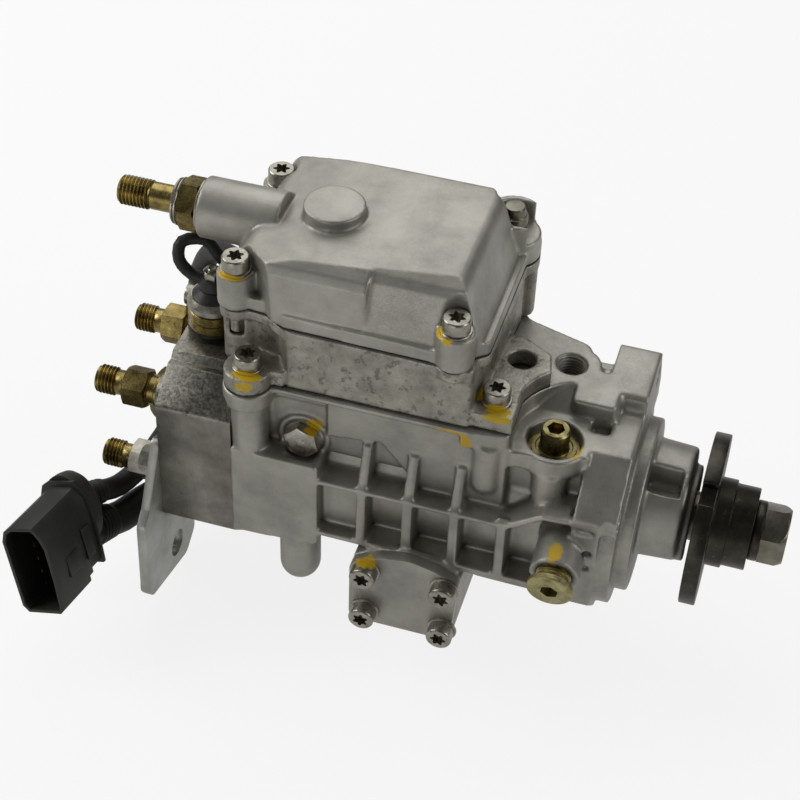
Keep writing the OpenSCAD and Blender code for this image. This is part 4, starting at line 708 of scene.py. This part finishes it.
def screwShape(settings, length):
    r, h, w, s = [settings[key] for key in ("headRadius", "headHeight", "washerRadius", "socket")]
    shank, floor = settings["shank"], h - settings["socketDepth"]
    bm = bmesh.new()
    addTurned(bm, [(-length, 0), (-length, 2.4), (-length + 0.6, shank), (0, shank), (0, w), (0.7, w),
                   (0.9, w - 0.2), (1.0, r), (5.7, r), (6.2, r - 0.22), (h, r - 0.6), (h, s),
                   (h - 0.25, s - 0.001), (floor, s), (floor - 0.4, 0)])
    shapeSocket(bm, s, 1, lobesAt(*settings["lobes"]))
    return bm


def makeScrews(settings):
    bm = bmesh.new()
    turn = settings["firstTurn"]
    for length, way, places in settings["groups"]:
        shape = screwShape(settings, length)
        for place in places:
            turn += settings["turnStep"]
            addCopy(bm, shape, place, way, turn)
        shape.free()
    turnOutwards(bm)
    makePiece("lobedScrews", bm, zincSteel, ["torx_screws"])


makeScrews(screwSettings)

# Flanged hexagon bolts of the side and of the bracket: place, direction, flats, shank length and radius
boltSettings = {
    "twist": 12,
    "flange": 0.63,
    "dish": (0.36, 0.34),
    "head": (1.2, 6.0, 0.94),
    "bolts": [
        ((-128, -31.5, 26.5), (0, -1, 0), 13, 14, 4),
        ((-191, -36.5, -3), (-1, 0, 0), 10, 49.5, 3),
        ((-191, -36, -27), (-1, 0, 0), 10, 49.5, 3),
    ],
}


def makeBolts(settings):
    bm = bmesh.new()
    for place, axis, flats, length, radius in settings["bolts"]:
        shape = bmesh.new()
        flange, rim, dish = [flats * share for share in (settings["flange"], *settings["dish"])]
        addTurned(shape, [(-length, 0), (-length, radius - 0.6), (-length + 0.6, radius), (0, radius),
                          (0, flange), (1.0, flange), (1.5, flange - 0.5), (1.6, 0)])
        addHexagon(shape, flats, *settings["head"])
        addTurned(shape, [(5.9, 0), (5.9, rim), (6.05, rim), (6.05, dish), (5.95, 0)])
        addCopy(bm, shape, place, axis, settings["twist"])
        shape.free()
    turnOutwards(bm)
    makePiece("hexagonBolts", bm, zincSteel, ["hex_bolts"])


makeBolts(boltSettings)

# Outlets of the head, drawn from the thread's end inwards: a threaded pipe, and the body with its hexagon
outletSettings = {
    "endX": -221,
    "pitchRadius": 29.5,
    "twist": 15,
    "bore": 1.2,
    "cone": (4, 3.4),
    "thread": (0.0, 8.8, 6.0, 1.5),
    "hexagon": (15, 12.4, 22.6, 0.95),
    "body": [(12.0, 1.25), (12.0, 5.9), (12.5, 6.6), (22.8, 6.6), (23.3, 6.0), (25.8, 6.0), (26.4, 6.9),
             (30.2, 6.9), (30.8, 7.0), (48, 7.0), (48, 3.53), (27, 3.53), (27, 1.25)],
    "turns": {45: goldChromate, 135: goldChromate, 225: zincSteel, 315: goldChromate},
}


def makeOutlets(settings):
    bore, (coneDepth, coneRadius) = settings["bore"], settings["cone"]
    low, high, radius, pitch = settings["thread"]
    root = threadRoot(radius, pitch)
    neck = root + 0.15
    for turn, bodyFinish in settings["turns"].items():
        angle = math.radians(turn)
        place = (settings["endX"], settings["pitchRadius"] * math.cos(angle),
                 settings["pitchRadius"] * math.sin(angle))
        shape = bmesh.new()
        addTurned(shape, [(coneDepth, bore), (0, coneRadius), (0, root), (high + 0.1, root),
                          (high + 0.4, neck), (12.1, neck), (12.1, bore)], closed=True)
        addThread(shape, low, high, radius, pitch)
        makePiece("outletThread%d" % turn, laid(shape, place, (1, 0, 0)), goldChromate,
                  ["outlet_holders"])
        shape = bmesh.new()
        addTurned(shape, settings["body"], closed=True)
        addHexagon(shape, *settings["hexagon"])
        makePiece("outletBody%d" % turn, laid(shape, place, (1, 0, 0), settings["twist"] + turn),
                  bodyFinish, ["outlet_holders"])


makeOutlets(outletSettings)

# Screw plug between the outlets, with pressed rings round its collar
centralPlugSettings = {
    "faceX": -187,
    "collarRadius": 13.1,
    "ringPitch": 1.65,
    "rings": 5,
    "flats": 19,
    "end": 18,
    "twist": 9,
}


def makeCentralPlug(settings):
    r, p = settings["collarRadius"], settings["ringPitch"]
    profile = [(-9, 0), (-9, 9), (0.02, 9), (0.02, r - 0.4), (0.5, r)]
    for k in range(settings["rings"]):
        start = 0.9 + k * p
        profile += [(start, r), (start + 0.25, r - 0.7), (start + 0.75, r - 0.7), (start + 1.0, r)]
    top = 1.2 + settings["rings"] * p
    profile += [(top, r - 0.3), (top + 1.0, r - 2.2), (top + 1.2, 0)]
    bm = bmesh.new()
    addTurned(bm, profile, steps=72)
    addHexagon(bm, settings["flats"], top, settings["end"])
    makePiece("centralPlug", laid(bm, (settings["faceX"], 0, 0), (-1, 0, 0), settings["twist"]),
              paleChromate, ["central_plug"])


makeCentralPlug(centralPlugSettings)

# Return fitting on the cover's tube, drawn from the tube's end outwards, and its washers
returnSettings = {
    "place": (-181, 5, 99.5),
    "bore": 2.2,
    "screwed": 5.98,
    "twist": 15,
    "hexagon": (19, 1.0, 8.95),
    "shank": (9.0, 21.6, 5.5),
    "thread": (21.6, 35.0, 6.0, 1.5),
    "washers": [(0.0, 1.0, 10.9), (9.0, 10.1, 9.6), (10.35, 11.5, 9.2)],
}


def makeReturn(settings):
    place, bore, screwed = [settings[key] for key in ("place", "bore", "screwed")]
    start, end, shank = settings["shank"]
    low, high, radius, pitch = settings["thread"]
    root = threadRoot(radius, pitch)
    bm = bmesh.new()
    addTurned(bm, [(-13, bore), (-13, screwed), (start, screwed), (start + 0.4, shank),
                   (end - 0.3, shank), (end, root), (high, root), (high, bore + 0.6), (high - 0.6, bore)],
              closed=True)
    addThread(bm, low, high, radius, pitch)
    addHexagon(bm, *settings["hexagon"])
    makePiece("returnFitting", laid(bm, place, (-1, 0, 0), settings["twist"]), goldChromate,
              ["return_fitting"])
    bm = bmesh.new()
    for low, high, radius in settings["washers"]:
        addTurned(bm, [(low, 6.05), (low, radius - 0.3), (low + 0.3, radius), (high - 0.3, radius),
                       (high, radius - 0.3), (high, 6.05)], closed=True)
    makePiece("sealingWashers", laid(bm, place, (-1, 0, 0)), zincSteel,
              ["fitting_washers"])


makeReturn(returnSettings)

# Shut-off solenoid: dark seat, plated body with its groove, bright crimp, black cap, stud and cable boot
solenoidSettings = {
    "place": (-176, -3, 0),
    "seat": [(46, 8.05), (46, 10.9), (48.6, 10.9), (49.6, 10.2), (49.6, 8.05)],
    "body": [(54, 0), (54, 3.2), (45, 3.2), (45, 5.03), (34, 5.03), (34, 7.95), (49.65, 7.95),
             (49.65, 10.3), (50.1, 10.7), (53.7, 10.7), (53.9, 10.25), (54.3, 10.25), (54.5, 10.7),
             (58.2, 10.7), (58.5, 10.1), (61.9, 10.1), (61.9, 0)],
    "crimp": [(58.9, 9.9), (58.9, 10.5), (59.2, 10.7), (61.4, 10.7), (62.6, 9.9), (63.7, 9.0),
              (63.7, 7.6), (61.8, 7.6), (61.8, 9.9)],
    "cap": [(62.5, 0), (62.5, 8.6), (63.9, 8.6), (65.4, 7.0), (66.9, 5.6), (66.95, 0)],
    "stud": [(66, 0), (66, 2), (76.1, 2), (76.5, 1.6), (76.5, 0)],
    "boot": [(67, 2.05), (67, 5.4), (67.6, 5.7), (70.6, 5.2), (72.1, 4.0), (72.1, 2.05)],
}


def makeSolenoid(settings):
    for name, part, closed, material, slotName, node in (
            ("solenoidSeat", "seat", True, blackOxide, "black_oxide", "shutoff_solenoid"),
            ("solenoidBody", "body", False, goldChromate, "olive_chromate", "shutoff_solenoid"),
            ("solenoidCrimp", "crimp", True, zincSteel, "zinc_plated_steel", "shutoff_solenoid"),
            ("solenoidCap", "cap", False, blackNylon, "black_plastic", "shutoff_solenoid"),
            ("solenoidStud", "stud", False, zincSteel, "zinc_plated_steel", "shutoff_solenoid"),
            ("cableBoot", "boot", True, blackRubber, "black_rubber", "shutoff_cable")):
        bm = bmesh.new()
        addTurned(bm, settings[part], closed=closed)
        makePiece(name, laid(bm, settings["place"], (0, 0, 1)), material, [node])


makeSolenoid(solenoidSettings)

# Regulator plug: a thin disc with a hexagon socket on a threaded neck
regulatorSettings = {
    "place": (-20, -43.5, 6),
    "lean": 11,
    "twist": 20,
    "socket": 6.4,
    "socketRadius": 4.0,
    "socketAbove": 12.5,
    "profile": [(5, 0), (5, 4.03), (-11, 4.03), (-11, 6.98), (9.8, 6.98), (10.1, 5.8), (14.2, 5.8),
                (14.3, 8.8), (14.8, 9.2), (16.6, 9.2), (17.1, 8.8), (17.4, 8.2), (17.4, 4.0), (12.6, 4.0),
                (12.4, 0)],
    "thread": (9.9, 14.6, 6.9, 1.25),
}


def makeRegulatorPlug(settings):
    bm = bmesh.new()
    addTurned(bm, settings["profile"])
    shapeSocket(bm, settings["socketRadius"], settings["socketAbove"], hexagonAt(settings["socket"]))
    addThread(bm, *settings["thread"])
    lean = math.radians(settings["lean"])
    outwards = (0, -math.cos(lean), -math.sin(lean))
    makePiece("regulatorPlug", laid(bm, settings["place"], outwards, settings["twist"]), paleChromate,
              ["regulator_plug"])


makeRegulatorPlug(regulatorSettings)

# Adjusting screw in its counterbore, its socket full of sealing paint
adjustSettings = {
    "place": (-30.6, -21.2, 39),
    "socket": 6.2,
    "socketRadius": 3.6,
    "socketAbove": 0,
    "profile": [(-14, 0), (-14, 4), (0, 4), (0, 10.3), (0.7, 10.3), (1.1, 9.9), (1.1, 9.0), (1.7, 8.8),
                (1.7, 7.4), (1.2, 7.1), (1.2, 6.1), (1.5, 5.7), (10.3, 5.7), (11, 5.0), (11, 3.6),
                (7.0, 3.6), (6.8, 0)],
}


def makeAdjustScrew(settings):
    bm = bmesh.new()
    addTurned(bm, settings["profile"])
    shapeSocket(bm, settings["socketRadius"], settings["socketAbove"], hexagonAt(settings["socket"]))
    makePiece("adjustingScrew", laid(bm, settings["place"], (0, 0, 1)), sealedChromate,
              ["adjust_screw"])


makeAdjustScrew(adjustSettings)

# Thread cut in the deck's inlet: a sleeve in the casting's bore with its teeth inwards
inletSettings = {
    "place": (-32.7, 14.3, 0),
    "thread": (38.0, 51.6, 5.2, 1.5),
}


def makeInletThread(settings):
    bm = bmesh.new()
    addThread(bm, *settings["thread"], way=-1)
    makePiece("inletThread", laid(bm, settings["place"], (0, 0, 1)), castAluminium)


makeInletThread(inletSettings)
print("fasteners and fittings made")

# Coil springs that a moving piece presses on: node, joint, centre, pressing direction, length and stroke
springSettings = {
    "regulatorSpring": ("valve_springs", "regulator_slide", (-20, -44, 5.9), (0, -0.9816, -0.1908), 7, 3),
    "shutoffSpring": ("valve_springs", "shutoff_lift", (-176, -3, 49), (0, 0, 1), 10, 0.9),
    "timingSpring": ("timing_spring", "timing_slide", (-79.5, 29, -40), (0, 1, 0), 31.8, 5.3),
}
valveSpringX = -187
valveSpringMotion = ((-1, 0, 0), 14, 1)
coilWidth = 3
for k in (1, 2, 3, 4):
    low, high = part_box("delivery_valve_%d" % k)
    middle = (valveSpringX, *((low[i] + high[i]) / 2 / toMetres for i in (1, 2)))
    springSettings["valveSpring%d" % k] = (
        "valve_springs", "valve_%d_lift" % k, middle, *valveSpringMotion)


# One coil of a node: the node's mesh kept within reach of the given centre
def makeSpring(name, nodeName, joint, centre, axis, length, stroke):
    centre, axis = Vector(centre), Vector(axis)
    bm = nodeShape(nodeName)
    others = [v for v in bm.verts if (v.co - centre).length > length * 0.75 + coilWidth]
    bmesh.ops.delete(bm, geom=others, context="VERTS")
    spring = makePiece(name, bm, zincSteel, [nodeName], smoothAngle=50)
    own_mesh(spring)


for name, settings in springSettings.items():
    makeSpring(name, *settings)
print("springs made")

# Socket of the harness: shell with open mouth, stepped back, collar, boot, seal and blades. Outlines run
# across X and Z, depths along Y from the mouth in front to the leads behind.
connectorSettings = {
    "place": (-221.5, -45, -35),
    "turn": (-12, -17.5, -1),
    "outline": [(-7.8, -16.6), (-5.6, -19.6), (9.6, -19.9), (11.2, -18.4), (12.3, -4), (12.5, 10.7),
                (10.9, 15.8), (8.0, 20.0), (-2.6, 20.0), (-5.8, 18.2), (-7.8, 13.6)],
    "middle": (2.3, 0),
    "inwards": (0.97, 0.98),
    "wall": 1.5,
    "mouthY": -47,
    "mouthDepth": 28,
    "stepY": -24,
    "rearLimits": (12.0, -14),
    "collar": (-14, -12.4, 1.13),
    "corners": 0.5,
    "boot": [(-12.4, 0.98, 0.98), (-8.0, 0.98, 0.96), (-4.5, 0.92, 0.9), (-1.6, 0.74, 0.76),
             (-0.2, 0.46, 0.5)],
    "bootMiddle": (1.5, 6),
    "bootSize": (11.2, 18.6),
    "ribs": [((12.2, -33, -4), (1.2, 9, 9)), ((12.2, -20, -2), (1.0, 6, 14))],
    "ribCorners": 0.35,
    "sealY": (-19.5, -24),
    "sealShare": 0.84,
    "sealShift": 0.37,
    "sealCorners": 0.6,
    "bladeRows": (-1.2, 5.6),
    "bladeHeights": (-12, -6, 0, 6, 12),
    "bladeY": -30,
    "bladeSize": (0.8, 14, 2.4),
    "bladeTip": (0.4, 1, 0.6),
}


def outlineFace(bm, outline, y):
    return bm.faces.new([bm.verts.new((x, y, z)) for x, z in outline])


# Draws a face out to another height along Y, scaled about the middle
def drawOut(bm, face, y, grow=(1.0, 1.0), middle=(0, 0)):
    made = bmesh.ops.extrude_face_region(bm, geom=[face] + list(face.edges) + list(face.verts))["geom"]
    new = next(f for f in made if isinstance(f, bmesh.types.BMFace))
    for v in new.verts:
        v.co = (middle[0] + (v.co.x - middle[0]) * grow[0], y, middle[1] + (v.co.z - middle[1]) * grow[1])
    return new


def connectorPlace(bm, settings):
    turns = [Matrix.Rotation(math.radians(a), 4, n) for a, n in zip(settings["turn"], "XYZ")]
    place = Matrix.Translation(settings["place"])
    bmesh.ops.transform(bm, matrix=place @ (turns[2] @ turns[1] @ turns[0]), verts=bm.verts)


def makeConnectorShell(settings):
    middle = settings["middle"]
    bm = bmesh.new()
    mouth = outlineFace(bm, settings["outline"], settings["mouthY"])
    rear = drawOut(bm, mouth, settings["stepY"], middle=middle)
    step = drawOut(bm, rear, settings["stepY"] + 0.02, middle=middle)
    mostX, leastZ = settings["rearLimits"]
    for v in step.verts:
        v.co.z = max(v.co.z, leastZ)
        v.co.x = min(v.co.x, mostX)
    low, high, grow = settings["collar"]
    foot = drawOut(bm, step, low, middle=middle)
    wide = drawOut(bm, foot, low + 0.02, (grow, grow), middle)
    wide = drawOut(bm, wide, high, middle=middle)
    drawOut(bm, wide, high + 0.3, (1 / grow, 1 / grow), middle)
    bmesh.ops.inset_region(bm, faces=[mouth], thickness=settings["wall"])
    drawOut(bm, mouth, settings["mouthY"] + settings["mouthDepth"], settings["inwards"], middle)
    turnOutwards(bm)
    softenEdges(bm, settings["corners"])
    for place, size in settings["ribs"]:
        rib = bmesh.ops.create_cube(bm, size=1)["verts"]
        bmesh.ops.scale(bm, vec=size, verts=rib)
        bmesh.ops.translate(bm, vec=place, verts=rib)
        bevelEdges(bm, list({e for v in rib for e in v.link_edges}), settings["ribCorners"])
    connectorPlace(bm, settings)
    return makePiece("connectorShell", bm, blackNylon, ["connector"])


def makeConnectorBoot(settings):
    bm = bmesh.new()
    wide, tall = settings["bootSize"]
    across, up = settings["bootMiddle"]
    ring = bmesh.ops.create_circle(bm, cap_ends=True, segments=40, radius=1)["verts"]
    face = ring[0].link_faces[0]
    for v in ring:
        v.co = (across + v.co.x * wide, settings["boot"][0][0], up + v.co.y * tall)
    for y, growX, growZ in settings["boot"][1:]:
        face = drawOut(bm, face, y)
        for v in face.verts:
            way = Vector(((v.co.x - across) / wide, (v.co.z - up) / tall)).normalized()
            v.co = (across + way.x * wide * growX, y, up + way.y * tall * growZ)
    turnOutwards(bm)
    connectorPlace(bm, settings)
    return makePiece("connectorBoot", bm, blackRubber, smoothAngle=60)


def makeConnectorInside(settings):
    near, far = settings["sealY"]
    share, shift = settings["sealShare"], settings["sealShift"]
    bm = bmesh.new()
    face = outlineFace(bm, [(x * share + shift, z * share) for x, z in settings["outline"]], near)
    drawOut(bm, face, far, settings["inwards"], settings["middle"])
    turnOutwards(bm)
    softenEdges(bm, settings["sealCorners"])
    connectorPlace(bm, settings)
    seal = makePiece("connectorSeal", bm, redSilicone)
    bm = bmesh.new()
    for x in settings["bladeRows"]:
        for z in settings["bladeHeights"]:
            blade = bmesh.ops.create_cube(bm, size=1)["verts"]
            bmesh.ops.scale(bm, vec=settings["bladeSize"], verts=blade)
            bmesh.ops.scale(bm, vec=settings["bladeTip"], verts=[v for v in blade if v.co.y < 0])
            bmesh.ops.translate(bm, vec=(x, settings["bladeY"], z), verts=blade)
    turnOutwards(bm)
    connectorPlace(bm, settings)
    return seal, makePiece("connectorBlades", bm, goldChromate)


# Ribbed sleeve round a lead's end at the socket; reach tells how far it goes on past the end
sleeveSettings = {
    "ribs": 5,
    "first": 0.4,
    "pitch": 2.1,
    "groove": 0.5,
    "rise": 1.5,
    "fall": 0.2,
    "end": 11.4,
}


def makeLeadSleeve(name, lead, reach):
    end, before = lead["points"][-1], lead["points"][-2]
    radius = lead["diameter"] / 2
    groove = radius + sleeveSettings["groove"]
    profile = [(-reach, radius)]
    for k in range(sleeveSettings["ribs"]):
        start = sleeveSettings["first"] + sleeveSettings["pitch"] * k
        crest = radius + sleeveSettings["rise"] - sleeveSettings["fall"] * k
        profile += [(start, groove), (start + 0.4, crest), (start + 1.2, crest), (start + 1.6, groove)]
    top, inner = sleeveSettings["end"], radius - 0.4
    profile += [(top, radius + 0.3), (top, inner), (-reach, inner)]
    bm = bmesh.new()
    addTurned(bm, profile, closed=True)
    axis = Vector(before) - Vector(end)
    return makePiece(name, laid(bm, end, axis), blackRubber)


connector = makeConnectorShell(connectorSettings)
boot = makeConnectorBoot(connectorSettings)
connectorParts = [connector, boot, *makeConnectorInside(connectorSettings)]
leadSleeve = makeLeadSleeve("leadSleeve", leadSettings["main"], 1)
timingSleeve = makeLeadSleeve("timingSleeve", leadSettings["timing"], 7)

# The leads ride on the housing and end in the socket or in the casting: node, far end, pieces carried
leadEnds = {
    "main": ("main_lead", "connector", [*connectorParts, leadSleeve]),
    "timing": ("timing_lead", "connector", [connector, timingSleeve]),
    "cable": ("shutoff_cable", "object", []),
}
for name, (nodeName, farEnd, carried) in leadEnds.items():
    lead, length, start = leads[name]
    lead.data.materials.append(blackRubber)
    settle(lead, "housing", [nodeName])

# Floor, lamps and world
stageSettings = {
    "floorSize": 12.0,
    "floorBelow": 0.0005,
    "floorColour": "#f2f2f0",
    "floorGlow": 0.84,
    "mirroredShare": 0.62,
    "worldShare": 0.09,
    "lampsAim": (-80, 0, 20),
}
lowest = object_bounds()[0][2]


# Strength 1 where the camera looks and less where the metal mirrors it, as a table near a dark room shows
def seenStrength(tree, elsewhere, mirrored):
    path = addNode(tree, "ShaderNodeLightPath").outputs
    mirror = mathOf(tree, "MAXIMUM", path["Is Glossy Ray"], path["Is Transmission Ray"])
    strength = valueMix(tree, path["Is Camera Ray"], valueMix(tree, mirror, elsewhere, mirrored), 1.0)
    return path["Is Camera Ray"], mirror, strength


def makeFloor(settings):
    bm = bmesh.new()
    bmesh.ops.create_grid(bm, x_segments=1, y_segments=1, size=settings["floorSize"])
    bmesh.ops.translate(bm, vec=(0, 0, lowest - settings["floorBelow"]), verts=bm.verts)
    floor = bpy.data.objects.new("floor", bpy.data.meshes.new("floor"))
    bm.to_mesh(floor.data)
    bm.free()
    scene.collection.objects.link(floor)
    material = bpy.data.materials.new("paleFloor")
    material.use_nodes = True
    tree = material.node_tree
    tree.nodes.clear()
    camera, mirror, strength = seenStrength(tree, 0.0, settings["mirroredShare"])
    share = mathOf(tree, "MULTIPLY", mathOf(tree, "MAXIMUM", camera, mirror), settings["floorGlow"])
    pale = hexColour(settings["floorColour"])
    matt = addNode(tree, "ShaderNodeBsdfDiffuse", {"Color": pale}).outputs[0]
    glow = addNode(tree, "ShaderNodeEmission", {"Color": (1, 1, 1, 1), "Strength": strength}).outputs[0]
    mixed = addNode(tree, "ShaderNodeMixShader", {0: share, 1: matt, 2: glow}).outputs[0]
    addNode(tree, "ShaderNodeOutputMaterial", {"Surface": mixed})
    floor.data.materials.append(material)


makeFloor(stageSettings)

lamps = {
    "overheadSoftbox": {"place": (-0.45, 0.85, 1.15), "size": 1.6, "power": 11.5},
    "leftSoftbox": {"place": (-1.2, -0.1, 0.75), "size": 0.7, "power": 7},
    "frontSoftbox": {"place": (-0.4, -1.1, 0.15), "size": 0.6, "power": 1.5},
    "rightStrip": {"place": (1.0, -0.1, 0.6), "size": 0.6, "power": 3.5},
}


def makeLamps(settings, aim):
    for name, lamp in settings.items():
        data = bpy.data.lights.new(name, "AREA")
        data.shape = "SQUARE"
        data.size = lamp["size"]
        data.energy = lamp["power"]
        light = bpy.data.objects.new(name, data)
        light.location = lamp["place"]
        light.rotation_euler = (metres(*aim) - light.location).to_track_quat("-Z", "Y").to_euler()
        scene.collection.objects.link(light)


def makeWorld(settings):
    scene.world = bpy.data.worlds.new("studio")
    scene.world.use_nodes = True
    tree = scene.world.node_tree
    background = tree.nodes["Background"]
    background.inputs["Color"].default_value = (1, 1, 1, 1)
    strength = seenStrength(tree, settings["worldShare"], settings["worldShare"])[2]
    tree.links.new(strength, background.inputs["Strength"])


makeLamps(lamps, stageSettings["lampsAim"])
makeWorld(stageSettings)
scene.view_settings.view_transform = "Standard"
